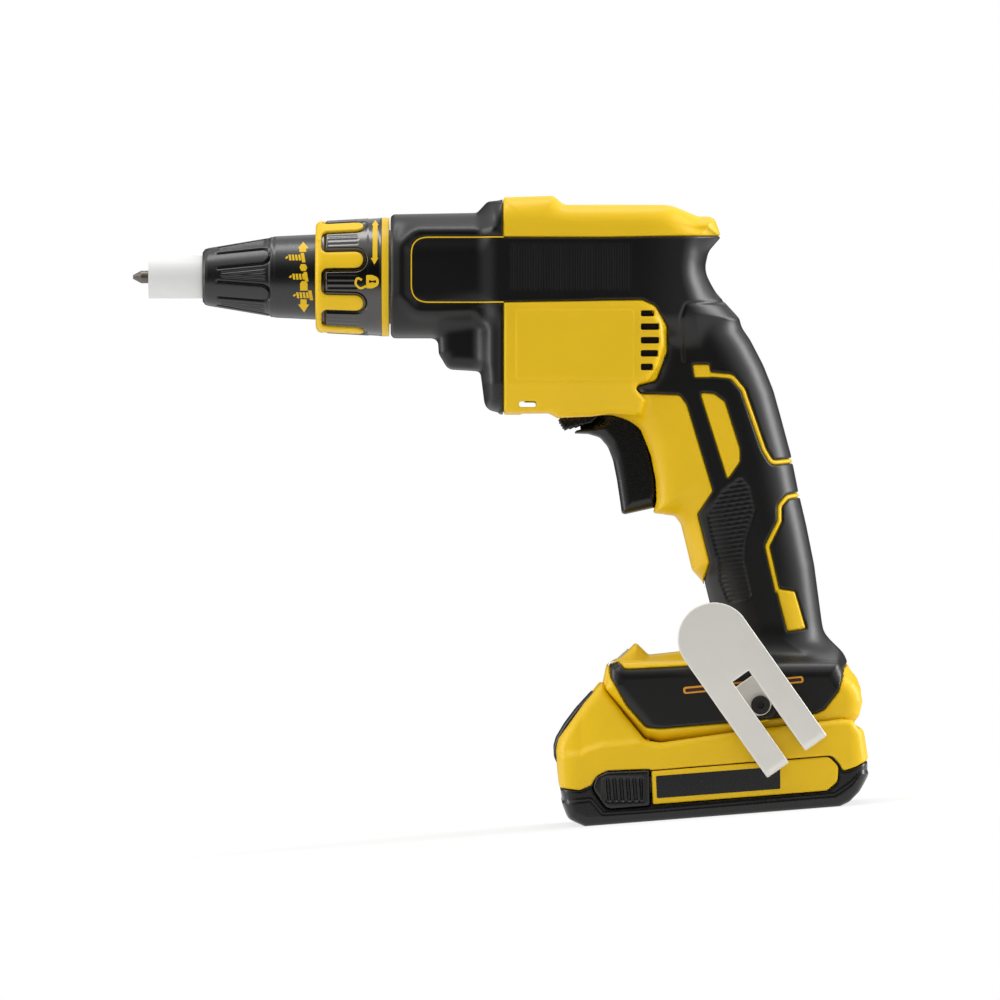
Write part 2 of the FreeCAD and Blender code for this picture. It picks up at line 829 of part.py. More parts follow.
def make_gear_case():
    """Nose sleeve, flange, neck and bell in one casting, closed at the rear by a bearing plate."""
    bush_front = sleeve_front + size.overrun
    bush_rear = bush_front + size.bush_length
    bush_seat = size.bush_diameter + size.seat_gap * 2
    spindle_way = size.spindle_diameter + size.sliding_gap * 2
    bell_bore = size.bell_diameter - size.bell_wall * 2
    bell_floor = bell_front + size.bell_wall
    profile = [
        (bush_seat, sleeve_front),
        (size.sleeve_diameter, sleeve_front),
        (size.sleeve_diameter, flange_front),
        (size.flange_diameter, flange_front),
        (size.flange_diameter, flange_rear),
        (size.neck_diameter, flange_rear),
        (size.neck_diameter, bell_front),
        (size.bell_diameter, bell_front),
        (size.bell_diameter, plate_front),
        (bell_bore, plate_front),
        (bell_bore, bell_floor),
        (size.neck_bore, bell_floor),
        (size.neck_bore, flange_rear),
        (spindle_way, flange_rear),
        (spindle_way, bush_rear),
        (bush_seat, bush_rear),
    ]
    lobe = cylinder(size.pinion_lobe_diameter, size.bell_length, barrel(bell_front, gear_distance))
    lobe_bore = cylinder(size.pinion_lobe_diameter - size.bell_wall * 2, size.bell_length,
                         barrel(bell_floor, gear_distance))
    bell_bore_cut = cylinder(bell_bore, size.bell_length, barrel(bell_floor))
    ear_length = size.bell_length
    ears = []
    ear_holes = []
    plate_ears = []
    plate_holes = []
    screws = []
    hole = size.case_screw_diameter + size.seat_gap * 2
    for spot in case_screw_spots():
        ear_start = behind(spot, -(ear_length + size.plate_thickness))
        ears.append(cylinder(size.case_ear_diameter, ear_length, ear_start))
        ear_holes.append(cylinder(hole, size.case_screw_length + size.overrun,
                                  behind(spot, -(size.case_screw_length + size.seat_gap))))
        plate_ear_start = behind(spot, -size.plate_thickness)
        plate_ears.append(cylinder(size.case_ear_diameter, size.plate_thickness, plate_ear_start))
        plate_holes.append(cylinder(hole, size.plate_thickness * 3, behind(spot,
                                                                           -size.plate_thickness * 2)))
        shank = cylinder(size.case_screw_diameter, size.case_screw_length + size.case_screw_head_length,
                         behind(spot, -size.case_screw_length))
        head = cylinder(size.case_screw_head_diameter, size.case_screw_head_length, spot)
        screws.append(fuse(shank, head))
    case = cut(fuse(turned(profile, barrel(ZERO)), lobe, *ears), lobe_bore, bell_bore_cut, *ear_holes)
    piece(case, "gear_case")
    disc = cylinder(size.bell_diameter, size.plate_thickness, barrel(plate_front))
    plate_lobe = cylinder(size.pinion_lobe_diameter, size.plate_thickness, barrel(plate_front,
                                                                                  gear_distance))
    gear_seat = cylinder(size.gear_bearing_diameter + size.seat_gap, size.plate_thickness * 3,
                         barrel(plate_front - size.plate_thickness))
    motor_seat = cylinder(size.motor_bearing_diameter + size.seat_gap, size.plate_thickness * 3,
                          barrel(plate_front - size.plate_thickness, gear_distance))
    plate = cut(fuse(disc, plate_lobe, *plate_ears), gear_seat, motor_seat, *plate_holes)
    piece(plate, "gear_case_plate")
    piece(fuse(*screws), "gear_case_screws")
    bush_profile = [
        (size.spindle_diameter + size.running_gap * 2, bush_front),
        (size.bush_diameter, bush_front),
        (size.bush_diameter, bush_rear),
        (size.spindle_diameter + size.running_gap * 2, bush_rear),
    ]
    piece(turned(bush_profile, barrel(ZERO)), "spindle_bush")
    bearing(size.gear_bearing_diameter, size.gear_hub_diameter + size.running_gap * 2,
            size.gear_bearing_width,
            barrel(plate_front), "gear_bearing")


def dogs(station, height, first_angle):
    """Clutch dogs: sectors of a ring, evenly spaced."""
    sectors = []
    count = int(size.dog_count.value)
    for step in range(count):
        turn = first_angle + 360 * step / count - size.dog_angle.value / 2
        sector = cylinder(size.clutch_diameter, height, around_barrel(station, turn, ZERO))
        bind(sector, Angle=size.dog_angle)
        sectors.append(sector)
    bore = cylinder(size.dog_ring_bore, height * 3, barrel(station - height))
    return cut(fuse(*sectors), bore)


def make_spindle():
    """Spindle with a hexagonal socket in front, a dog flange and a tail that slides in the gear."""
    tail_rear = dogs_start + size.spindle_tail_length
    profile = [
        (ZERO, spindle_front),
        (size.spindle_diameter, spindle_front),
        (size.spindle_diameter, flange_start),
        (size.clutch_diameter, flange_start),
        (size.clutch_diameter, dogs_start),
        (size.spindle_tail_diameter, dogs_start),
        (size.spindle_tail_diameter, tail_rear),
        (ZERO, tail_rear),
    ]
    socket = hexagon(size.hex_across_flats + size.seat_gap * 2, size.shank_grip + size.overrun * 2,
                     barrel(spindle_front - size.overrun))
    flange_dogs = dogs(dogs_start - size.dog_height, size.dog_height * 2, 0)
    piece(cut(fuse(turned(profile, barrel(ZERO)), flange_dogs), socket), "spindle")
    piece(wire_coil(size.clutch_spring_wire, size.clutch_spring_diameter, gear_front - dogs_start,
                    size.clutch_spring_turns, barrel(dogs_start)), "clutch_spring")


DEDENDUM_SHARE = 1.25
FLANK_STEPS = 4


def gear_face(teeth):
    """Flat involute gear with a tooth centred on local X."""
    module = size.gear_module.value
    pressure = math.radians(size.pressure_angle.value)
    pitch_radius = module * teeth / 2
    base_radius = pitch_radius * math.cos(pressure)
    tip_radius = pitch_radius + module
    root_radius = pitch_radius - DEDENDUM_SHARE * module
    half_tooth = (math.pi * module / 2 - size.backlash.value / 2) / (2 * pitch_radius)
    start_radius = max(base_radius, root_radius)

    def involute(angle):
        return math.tan(angle) - angle

    def polar(radius, angle):
        return Vector(radius * math.cos(angle), radius * math.sin(angle), 0)

    def half_angle(radius):
        return half_tooth + involute(pressure) - involute(math.acos(base_radius / radius))

    flank = tip_radius - start_radius
    radii = [start_radius + flank * step / FLANK_STEPS for step in range(FLANK_STEPS + 1)]
    edges = []
    for tooth in range(teeth):
        middle = 2 * math.pi * tooth / teeth
        following = 2 * math.pi * (tooth + 1) / teeth
        rising = Part.BSplineCurve()
        rising.interpolate([polar(radius, middle - half_angle(radius)) for radius in radii])
        falling = Part.BSplineCurve()
        falling.interpolate([polar(radius, middle + half_angle(radius)) for radius in reversed(radii)])
        root_angle = half_angle(start_radius)
        if base_radius > root_radius:
            edges.append(Part.makeLine(polar(root_radius, middle - root_angle), rising.StartPoint))
        edges.append(rising.toShape())
        edges.append(Part.Arc(rising.EndPoint, polar(tip_radius, middle), falling.StartPoint).toShape())
        edges.append(falling.toShape())
        if base_radius > root_radius:
            edges.append(Part.makeLine(falling.EndPoint, polar(root_radius, middle + root_angle)))
        valley = polar(root_radius, (middle + following) / 2)
        edges.append(Part.Arc(polar(root_radius, middle + root_angle), valley,
                              polar(root_radius, following - root_angle)).toShape())
    return Part.Face(Part.Wire(edges))


def toothed_wheel(teeth, bore_diameter, width, placement):
    wheel = document.addObject("Part::Feature", "Wheel")
    wheel.Shape = gear_face(int(teeth.value)).extrude(Vector(0, 0, width.value))
    wheel.Placement = placement
    return cut(wheel, cylinder(bore_diameter, width * 3, behind(placement, -width)))


def make_gears():
    """Drive gear with clutch dogs and a hub in its bearing, and the motor pinion below it."""
    bore = size.spindle_tail_diameter + size.running_gap * 2
    wheel = toothed_wheel(size.gear_teeth, bore, size.gear_width, barrel(gear_front))
    hub_profile = [
        (bore, gear_front),
        (size.gear_hub_diameter, gear_front),
        (size.gear_hub_diameter, hub_rear),
        (bore, hub_rear),
    ]
    gear_dogs = dogs(gear_dogs_start, size.gear_dog_height * 2, 60)
    piece(fuse(wheel, turned(hub_profile, barrel(ZERO)), gear_dogs), "drive_gear")
    clip_profile = [
        (size.gear_hub_diameter + size.running_gap * 2, ZERO),
        (size.circlip_diameter, ZERO),
        (size.circlip_diameter, size.circlip_thickness),
        (size.gear_hub_diameter + size.running_gap * 2, size.circlip_thickness),
    ]
    piece(turned(clip_profile, barrel(plate_rear + size.seat_gap)), "gear_circlip")
    mesh_turn = Placement(Vector(), Rotation(Vector(0, 0, 1), 180 / size.pinion_teeth.value))
    piece(toothed_wheel(size.pinion_teeth, size.shaft_diameter + size.running_gap * 2, size.pinion_width,
                        barrel(pinion_front, gear_distance).multiply(mesh_turn)), "pinion")


# Motor
def on_motor(station):
    return barrel(station, gear_distance)


def make_motor():
    """Brushless motor below the barrel axis, on two ball bearings, with a cooling fan."""
    shaft_front = pinion_front - size.shaft_overhang
    shaft_bore = size.shaft_diameter + size.running_gap * 2
    piece(cylinder(size.shaft_diameter, shaft_rear - shaft_front, on_motor(shaft_front)), "rotor_shaft")
    bearing(size.motor_bearing_diameter, shaft_bore, size.motor_bearing_width, on_motor(plate_front),
            "motor_front_bearing")
    bearing(size.motor_bearing_diameter, shaft_bore, size.motor_bearing_width,
            on_motor(rear_bearing_front),
            "motor_rear_bearing")
    rotor_front = stator_front + (size.stator_length - size.rotor_length) / 2
    bearing(size.rotor_diameter, shaft_bore, size.rotor_length, on_motor(rotor_front), "rotor_core")
    stator_bore = size.rotor_diameter + size.air_gap * 2
    stator_profile = [
        (stator_bore, stator_front),
        (size.stator_diameter, stator_front),
        (size.stator_diameter, stator_rear),
        (stator_bore, stator_rear),
    ]
    slots = []
    coils = []
    coil_length = coil_rear - coil_front
    for step in range(int(size.slot_count.value)):
        turn = Placement(Vector(), Rotation(Vector(0, 0, 1), 360 * step / size.slot_count.value))
        out = Placement(Vector(size.slot_circle_diameter.value / 2, 0, 0), Rotation())
        slots.append(cylinder(size.slot_diameter, coil_length,
                              on_motor(coil_front).multiply(turn).multiply(out)))
        coils.append(cylinder(size.slot_diameter - size.coil_gap * 2, coil_length,
                              on_motor(coil_front).multiply(turn).multiply(out)))
    piece(cut(turned(stator_profile, on_motor(ZERO)), *slots), "stator_core")
    cap_outside = size.slot_circle_diameter + size.slot_diameter - size.coil_gap * 2
    cap_bore = size.slot_circle_diameter - size.slot_diameter + size.coil_gap * 2
    cap_length = size.coil_overhang - size.coil_gap
    caps = []
    for start in (coil_front, coil_rear - cap_length):
        cap_profile = [
            (cap_bore, start),
            (cap_outside, start),
            (cap_outside, start + cap_length),
            (cap_bore, start + cap_length),
        ]
        caps.append(turned(cap_profile, on_motor(ZERO)))
    piece(fuse(*coils, *caps), "stator_windings")
    bearing(size.sensor_board_diameter, size.sensor_board_bore, size.sensor_board_thickness,
            on_motor(coil_front - size.sensor_board_thickness - size.seat_gap), "sensor_board")
    blades = []
    blade_length = (size.fan_diameter - size.fan_hub_diameter) / 2 + size.fan_blade_thickness
    for step in range(int(size.fan_blade_count.value)):
        turn = Placement(Vector(), Rotation(Vector(0, 0, 1), 360 * step / size.fan_blade_count.value))
        out = Placement(Vector((size.fan_diameter / 2 - blade_length).value, 0, 0), Rotation())
        blades.append(box(blade_length - size.fan_blade_thickness / 2, size.fan_blade_thickness,
                          size.fan_width,
                          on_motor(fan_front).multiply(turn).multiply(out)))
    hub = cylinder(size.fan_hub_diameter, size.fan_width, on_motor(fan_front))
    disc = cylinder(size.fan_diameter, size.fan_disc_thickness,
                    on_motor(fan_rear - size.fan_disc_thickness))
    fan_bore = cylinder(shaft_bore, size.fan_width * 3, on_motor(fan_front - size.fan_width))
    piece(cut(fuse(hub, disc, *blades), fan_bore), "cooling_fan")


make_gear_case()
make_spindle()
make_gears()
make_motor()

# Housing outlines, as pixel corners of the side view with corner radii
BODY_OUTLINE_PIXELS = [
    (455, 262, 4), (472, 214, 6), (487, 200, 7), (553, 197, 5), (565, 207, 8), (670, 207, 40),
    (697, 218, 15), (713, 218, 7), (720, 238, 3), (705, 267, 24), (722, 304, 10),
    (752, 345, 20), (752, 400, 20), (640, 419, 10), (612, 414, 6), (590, 417.5, 6),
    (558, 418, 3), (549, 413, 5), (505, 413.5, 3), (487, 408, 9), (481, 371, 5), (448, 369, 9),
    (439, 354, 5), (439, 300, 4),
]
HANDLE_OUTLINE_PIXELS = [
    (645, 330, 45), (738, 318, 45), (770, 385, 250), (806, 525, 400), (836, 665, 60),
    (815, 706, 42), (722, 704, 42), (721, 645, 80), (657, 487, 150), (628, 400, 60),
]
FOOT_OUTLINE_PIXELS = [
    (609, 669, 4), (636, 644, 5), (650, 655, 8), (700, 653, 10), (720, 640, 20), (800, 640, 20),
    (836, 668, 6), (851, 680, 8), (860, 698, 6), (852, 709, 4), (838, 716, 3), (645, 732, 10),
    (625, 706, 15),
]
BUMPER_ZONE_PIXELS = [
    (380, 200, 0), (503, 190, 0), (503, 239, 0), (411, 239, 0), (411, 303, 0), (503, 303, 0),
    (503, 425, 0), (380, 425, 0),
]
BAND_ZONE_PIXELS = [
    (412, 240.5, 12), (503, 240.5, 0), (760, 236, 0), (760, 330, 0), (648, 301.5, 0),
    (412, 301.5, 12),
]
GRIP_ZONE_PIXELS = [
    (640, 301, 0), (760, 301, 0), (850, 620, 0), (838, 668, 0), (700, 660, 0), (712, 488, 0),
    (686, 405, 8), (668, 394, 6), (638, 394, 4), (640, 384, 4), (664, 360, 12),
]
BOOT_ZONE_PIXELS = [
    (600, 664, 0), (690, 664, 4), (720, 668, 4), (845, 668, 0), (822, 709, 6), (645, 722, 12),
    (609, 680, 12),
]
TRIGGER_OUTLINE_PIXELS = [
    (574, 433, 1), (588, 430.5, 4), (597, 418, 8), (613, 415, 8), (640, 416, 4), (664, 440, 5),
    (664, 508, 3), (628, 515, 5), (621, 510, 6), (614, 462, 30), (603, 440, 12), (588, 434, 10),
]
TRIGGER_WAY_PIXELS = [(580, 413, 0), (683, 413, 0), (683, 512, 0), (660, 519, 0), (580, 519, 0)]
LEVER_TIP_PIXELS = [
    (558, 420.5, 2), (564, 429.5, 3), (573, 430.5, 2), (585, 427.5, 3), (593, 417.5, 3),
    (593, 406, 0), (575, 406, 0), (573, 420.5, 2),
]
LEVER_ARM_PIXELS = [(575, 406, 0), (616, 406, 4), (616, 411.5, 4), (575, 411.5, 0)]
LEVER_WAY_PIXELS = [(552, 404.5, 0), (624, 404.5, 0), (624, 414, 0), (600, 420, 0), (552, 420, 0)]
SWITCH_PIXELS = (694, 416, 748, 472)
CRADLE_PIXELS = (687, 409, 755, 479)
CONTROL_PIXELS = (738, 588, 800, 644)
CONTROL_SHELF_PIXELS = (730, 644, 810, 652)
LEVER_PIVOT_PIXEL = (606, 406)
TRIGGER_STEM_PIXEL = (664, 446)
LED_PIXEL = (622.5, 656.5)
HOOK_SCREW_PIXEL = (758, 703)
SCREW_PIXELS = [(600, 236), (688, 262), (462, 352), (520, 393), (752, 500), (640, 683), (812, 670)]
VENT_PIXELS = [
    (641, 311, 655, 317), (641, 325, 655, 331), (641, 339, 655, 345), (641, 352, 655, 358),
    (641, 366, 655, 372),
]
HANDLE_SLOT_PIXELS = (519, 402, 536, 408)

foot_floor = size.pack_top + size.sliding_gap
rail_top = size.pack_top + size.rail_neck_height
tower_top = rail_top + size.rail_head_height


def pixel_rectangle(bounds):
    left, top, right, low = bounds
    return photo_corners([(left, top, 0), (right, top, 0), (right, low, 0), (left, low, 0)])


def pixel_box(bounds, width):
    """Block over a pixel rectangle, centred on the middle plane."""
    return side_prism(pixel_rectangle(bounds), -width / 2, width / 2)


def across_at(spot, start):
    """Placement at a pixel, a distance to the far side, whose local Z points to the far side."""
    point = photo(*spot) + SIDEWAYS * as_size(start).value
    return Placement(point, Rotation(Vector(1, 0, 0), -90))


def crosswise(spot, diameter, start, end):
    """Rod along Y at a pixel, between two distances to the far side."""
    return cylinder(diameter, as_size(end) - as_size(start), across_at(spot, start))


def rounded_side(corners, half_width, radius):
    """Half prism on the hook side, with its outer edges rounded."""
    body = side_prism(corners, ZERO, half_width)
    document.recompute()
    pad = body.Tip
    outer = -half_width.value
    rim = []
    for number, edge in enumerate(pad.Shape.Edges, start=1):
        if all(abs(vertex.Point.y - outer) < SAME_PLACE for vertex in edge.Vertexes):
            rim.append(f"Edge{number}")
    rounding = body.newObject("PartDesign::Fillet", "Fillet")
    rounding.Base = (pad, rim)
    bind(rounding, Radius=radius)
    return body


def body_section(depth):
    """Section of the body across the barrel, soft at the top and tighter below, moved inwards by a depth."""
    half = size.body_half_width.value
    corners = []
    for below, radius in ((-size.body_rise, size.body_top_radius), (size.body_drop, size.body_low_radius)):
        ends = [(Vector(below.value, side, 0), radius.value) for side in (-half, half)]
        corners += ends if below.value < 0 else reversed(ends)
    return inset(corners, depth.value)


def body_plan(front_half, high, low, depth):
    """Body seen from above between two distances below the axis: narrow at the bumper and at the tail."""
    bumper_end = bell_front - size.sliding_gap
    stations = [
        (-size.overrun, front_half),
        (bumper_end - size.bumper_length, front_half),
        (bumper_end, size.body_half_width),
        (fan_front, size.body_half_width),
        (fan_front + size.tail_length, size.tail_half_width),
        (size.body_length, size.tail_half_width),
    ]
    near = [(Vector(station.value, -half.value, 0), 0) for station, half in stations]
    far = [(Vector(station.value, half.value, 0), 0) for station, half in reversed(stations)]
    base = BARREL_DATUM - UPWARDS * low.value
    upright = Placement(base, Rotation(REARWARDS, SIDEWAYS, UPWARDS, "ZXY"))
    return prism(inset(near + far, depth.value), low - high, upright, "XY_Plane")


def housing_solid(depth):
    """Half of the housing on the hook side, moved inwards by a depth."""
    barrel_length = size.front_barrel_length - depth
    front = cylinder(size.front_barrel_diameter - depth * 2, barrel_length, barrel(depth))
    body_corners = inset(photo_corners(BODY_OUTLINE_PIXELS), depth.value)
    body_side = side_prism(body_corners, -size.overrun, size.body_half_width + size.overrun)
    body_run = prism(body_section(depth), size.body_length, barrel(ZERO), "XY_Plane")
    upper_plan = body_plan(size.bumper_half_width, -size.body_rise, size.chin_top, depth)
    lower_plan = body_plan(size.chin_half_width, size.chin_top, size.body_drop, depth)
    body = common(common(body_side, body_run), fuse(upper_plan, lower_plan))
    handle_corners = inset(photo_corners(HANDLE_OUTLINE_PIXELS), depth.value)
    handle = rounded_side(handle_corners, size.handle_half_width - depth, size.handle_edge_radius - depth)
    foot_corners = inset(photo_corners(FOOT_OUTLINE_PIXELS), depth.value)
    foot_side = side_prism(foot_corners, -size.overrun, size.foot_half_width + size.overrun)
    foot_half = size.foot_half_width - depth
    foot_plan = rectangle(-size.foot_front, size.foot_rear - depth, -foot_half, foot_half,
                          size.foot_corner_radius - depth)
    foot_run = prism(foot_plan, size.foot_height, Placement(Vector(0, 0, (foot_floor + depth).value),
                                                            Rotation()),
                     "XY_Plane")
    whole = fuse(front, body, handle, common(foot_side, foot_run))
    return common(whole, near_half())


def near_half():
    """Block that keeps the hook side of the middle plane."""
    reach = size.tool_length
    return block_between((-reach, -reach, -reach), (reach, ZERO, reach))


def rib_slabs():
    """Walls across the housing that seat the gear case, the stator and the rear bearing."""
    slabs = []
    places = [
        (size.neck_rib_station, size.rib_thickness),
        (stator_front + size.rib_thickness, size.rib_thickness),
        (stator_rear - size.rib_thickness * 2, size.rib_thickness),
        (rear_bearing_front, size.motor_bearing_width),
    ]
    for station, thickness in places:
        slabs.append(box(size.body_rise + size.body_drop, size.body_half_width * 2, thickness,
                         barrel(station, -size.body_rise)))
    return slabs


def drive_pockets():
    """Room for the gear case and the motor."""
    gap = size.seat_gap * 2
    screw_end = plate_rear + size.case_screw_head_length + size.sliding_gap
    bell_start = bell_front - size.sliding_gap
    bell_room = screw_end - bell_start
    motor_start = plate_rear
    pockets = [
        cylinder(size.neck_diameter + gap, size.neck_length + size.overrun,
                 barrel(flange_rear - size.overrun)),
        cylinder(size.bell_diameter + gap, bell_room, barrel(bell_start)),
        cylinder(size.pinion_lobe_diameter + gap, bell_room, barrel(bell_start, gear_distance)),
        cylinder(size.stator_diameter + gap, rear_bearing_front - motor_start, on_motor(motor_start)),
        cylinder(size.motor_bearing_diameter + gap, size.motor_bearing_width + gap,
                 on_motor(rear_bearing_front)),
        cylinder(size.shaft_diameter + gap, size.motor_bearing_width + size.overrun,
                 on_motor(rear_bearing_front)),
    ]
    for spot in case_screw_spots():
        start = behind(spot, bell_start - plate_rear)
        pockets.append(cylinder(size.case_ear_diameter + gap, bell_room, start))
    return pockets


def led_place(depth):
    """Placement on the lamp slope, a depth inside it; local Z points out, forwards and up."""
    slope_start = photo(FOOT_OUTLINE_PIXELS[0][0], FOOT_OUTLINE_PIXELS[0][1])
    slope_end = photo(FOOT_OUTLINE_PIXELS[1][0], FOOT_OUTLINE_PIXELS[1][1])
    along = slope_end - slope_start
    along.normalize()
    out = along.cross(SIDEWAYS)
    if out.z < 0:
        out = out * -1
    point = photo(*LED_PIXEL) - out * as_size(depth).value
    return Placement(point, Rotation(along, Vector(), out, "ZXY"))


def shared_cuts():
    """Cuts that cross the middle plane and so shape both halves."""
    trigger_room = size.trigger_width + size.sliding_gap * 2
    lever_room = size.lever_room_width
    stem_hole = cylinder(size.trigger_stem_diameter + size.sliding_gap * 2,
                         size.trigger_stem_length + size.overrun,
                         pixel_on_barrel(TRIGGER_STEM_PIXEL, ZERO))
    pivot_hole = cylinder(size.lever_pin_diameter + size.running_gap * 2,
                          size.lever_pin_length + size.sliding_gap,
                          upright_at(LEVER_PIVOT_PIXEL))
    gap = size.sliding_gap
    rail_neck = block_between(
        (-size.tool_length, -(size.rail_neck_half_width + gap), ZERO),
        (size.tower_rear + gap, size.rail_neck_half_width + gap, rail_top),
    )
    rail_head = block_between(
        (-size.tool_length, -(size.rail_head_half_width + gap), rail_top - gap),
        (size.tower_rear + gap, size.rail_head_half_width + gap, tower_top + gap),
    )
    terminal_room = block_between(
        (size.tower_rear, -size.terminal_block_half_width - gap, rail_top - gap),
        (size.tower_rear + size.terminal_block_length + gap, size.terminal_block_half_width + gap,
         tower_top + gap),
    )
    led_room = cylinder(size.led_diameter + size.seat_gap * 2, size.led_depth + size.overrun * 2,
                        led_place(size.led_depth + size.led_board_thickness + size.seat_gap))
    return [
        side_prism(photo_corners(TRIGGER_WAY_PIXELS), -trigger_room / 2, trigger_room / 2),
        side_prism(photo_corners(LEVER_WAY_PIXELS), -lever_room / 2, lever_room / 2),
        pixel_box(SWITCH_PIXELS, size.switch_width + size.seat_gap * 2),
        pixel_box(CONTROL_PIXELS, size.control_width + size.seat_gap * 2),
        pixel_box(HANDLE_SLOT_PIXELS, size.body_half_width * 3),
        stem_hole, pivot_hole, rail_neck, rail_head, terminal_room, led_room,
    ]


def pixel_on_barrel(spot, ahead):
    """Placement at a pixel whose local Z runs rearwards along the barrel direction."""
    return Placement(photo(*spot) - REARWARDS * as_size(ahead).value, BARREL_TURN)


def upright_at(spot):
    """Placement at a pixel whose local Z points up, square to the barrel."""
    return Placement(photo(*spot), Rotation(REARWARDS, SIDEWAYS, UPWARDS, "ZXY"))


def zone_prism(table, distance):
    return side_prism(inset(photo_corners(table), distance), -size.overrun, size.body_half_width * 2)


def make_housing():
    """Two mirrored housing halves with soft overmoulded zones, closed by screws from the far side."""
    outer = housing_solid(ZERO)
    skin = housing_solid(size.overmould_thickness)
    bed = housing_solid(size.overmould_thickness + size.seat_gap)
    cavity = housing_solid(size.housing_wall)
    zones = (BUMPER_ZONE_PIXELS, BAND_ZONE_PIXELS, GRIP_ZONE_PIXELS, BOOT_ZONE_PIXELS)
    zone_room = fuse(*(zone_prism(table, 0) for table in zones))
    bosses = [crosswise(spot, size.boss_diameter, -size.foot_half_width, ZERO) for spot in SCREW_PIXELS]
    rail_bed = block_between(
        (-size.tool_length, -(size.rail_head_half_width + size.housing_wall), ZERO),
        (size.tool_length, ZERO, tower_top + size.housing_wall),
    )
    cradle = pixel_box(CRADLE_PIXELS, size.handle_half_width * 2)
    shelf = pixel_box(CONTROL_SHELF_PIXELS, size.handle_half_width * 2)
    hook_boss = crosswise(HOOK_SCREW_PIXEL, size.hook_boss_diameter, -size.foot_half_width, ZERO)
    hook_pad = crosswise(HOOK_SCREW_PIXEL, size.hook_boss_diameter, -size.hook_pad_half_width,
                         -size.housing_wall)
    hollow = cut(cavity, *rib_slabs(), *bosses, rail_bed, cradle, shelf, hook_boss)
    vents = [pixel_box(bounds, size.body_half_width * 3) for bounds in VENT_PIXELS]
    nut_seat = crosswise(HOOK_SCREW_PIXEL, size.hook_nut_diameter + size.seat_gap * 2,
                         -size.hook_pad_half_width - size.overrun,
                         -size.hook_pad_half_width + size.hook_nut_length)
    shell = cut(fuse(outer, hook_pad), hollow, *drive_pockets(), *shared_cuts(), *vents, nut_seat)
    shell = cut(shell, cut(common(outer, zone_room), bed))
    rubber = cut(common(cut(outer, skin), zone_room), *shared_cuts(), *vents,
                 crosswise(HOOK_SCREW_PIXEL, size.hook_boss_diameter + size.seat_gap * 2,
                           -size.tool_length, ZERO),
                 cylinder(size.neck_diameter + size.seat_gap * 2, size.neck_length, barrel(flange_rear)))
    pilots = [crosswise(spot, size.screw_diameter + size.seat_gap * 2,
                        -(size.screw_length - size.screw_seat + size.seat_gap), size.overrun)
                        for spot in SCREW_PIXELS]
    piece(cut(shell, *pilots), "left_housing")
    piece(rubber, "left_overmould")
    wells = []
    screws = []
    for spot in SCREW_PIXELS:
        hole = crosswise(spot, size.screw_diameter + size.seat_gap * 2, -size.overrun,
                         size.screw_seat + size.overrun)
        well = crosswise(spot, size.screw_head_diameter + size.sliding_gap * 2, size.screw_seat,
                         size.tool_length)
        wells += [hole, well]
        shank = crosswise(spot, size.screw_diameter, size.screw_seat - size.screw_length, size.screw_seat)
        head = crosswise(spot, size.screw_head_diameter, size.screw_seat,
                         size.screw_seat + size.screw_head_length)
        screws.append(fuse(shank, head))
    piece(cut(mirrored(shell), *wells), "right_housing")
    piece(cut(mirrored(rubber), *wells), "right_overmould")
    piece(fuse(*screws), "housing_screws")
    nut_profile = [
        (size.hook_screw_diameter + size.running_gap * 2, ZERO),
        (size.hook_nut_diameter, ZERO),
        (size.hook_nut_diameter, size.hook_nut_length),
        (size.hook_screw_diameter + size.running_gap * 2, size.hook_nut_length),
    ]
    left_nut = turned(nut_profile, across_at(HOOK_SCREW_PIXEL, -size.hook_pad_half_width))
    right_nut = turned(nut_profile, across_at(HOOK_SCREW_PIXEL,
                                              size.hook_pad_half_width - size.hook_nut_length))
    piece(fuse(left_nut, right_nut), "hook_nuts")


make_housing()

# Controls and electrics
def make_controls():
    trigger_blade = side_prism(photo_corners(TRIGGER_OUTLINE_PIXELS), -size.trigger_width / 2,
                               size.trigger_width / 2)
    stem = cylinder(size.trigger_stem_diameter, size.trigger_stem_length + size.overrun,
                    pixel_on_barrel(TRIGGER_STEM_PIXEL, size.overrun))
    piece(fuse(trigger_blade, stem), "trigger")
    spring_length = pixel * (CRADLE_PIXELS[0] - TRIGGER_STEM_PIXEL[0])
    piece(wire_coil(size.trigger_spring_wire, size.trigger_spring_diameter, spring_length,
                    size.trigger_spring_turns,
                    pixel_on_barrel(TRIGGER_STEM_PIXEL, ZERO)), "trigger_spring")
    half_lever = size.lever_width / 2
    tip = side_prism(photo_corners(LEVER_TIP_PIXELS), -half_lever, half_lever)
    arm = side_prism(photo_corners(LEVER_ARM_PIXELS), -half_lever, half_lever)
    pin = cylinder(size.lever_pin_diameter, size.lever_pin_length * 2,
                   behind(upright_at(LEVER_PIVOT_PIXEL), -size.lever_pin_length))
    piece(fuse(tip, arm, pin), "reversing_lever")
    bore_start = (SWITCH_PIXELS[0], TRIGGER_STEM_PIXEL[1])
    stem_bore = cylinder(size.trigger_stem_diameter + size.sliding_gap * 2,
                         size.trigger_travel + size.overrun * 2, pixel_on_barrel(bore_start,
                                                                                 size.overrun))
    piece(cut(pixel_box(SWITCH_PIXELS, size.switch_width), stem_bore), "switch_module")
    piece(pixel_box(CONTROL_PIXELS, size.control_width), "control_module")
    piece(cylinder(size.led_diameter, size.led_depth + size.led_proud, led_place(size.led_depth)),
          "led_lens")
    piece(cylinder(size.led_diameter, size.led_board_thickness,
                   led_place(size.led_depth + size.led_board_thickness)), "led_board")


def terminal_centres():
    """Places of the four terminals across the rail."""
    step = size.terminal_spacing
    return [step * share for share in (-1.5, -0.5, 0.5, 1.5)]


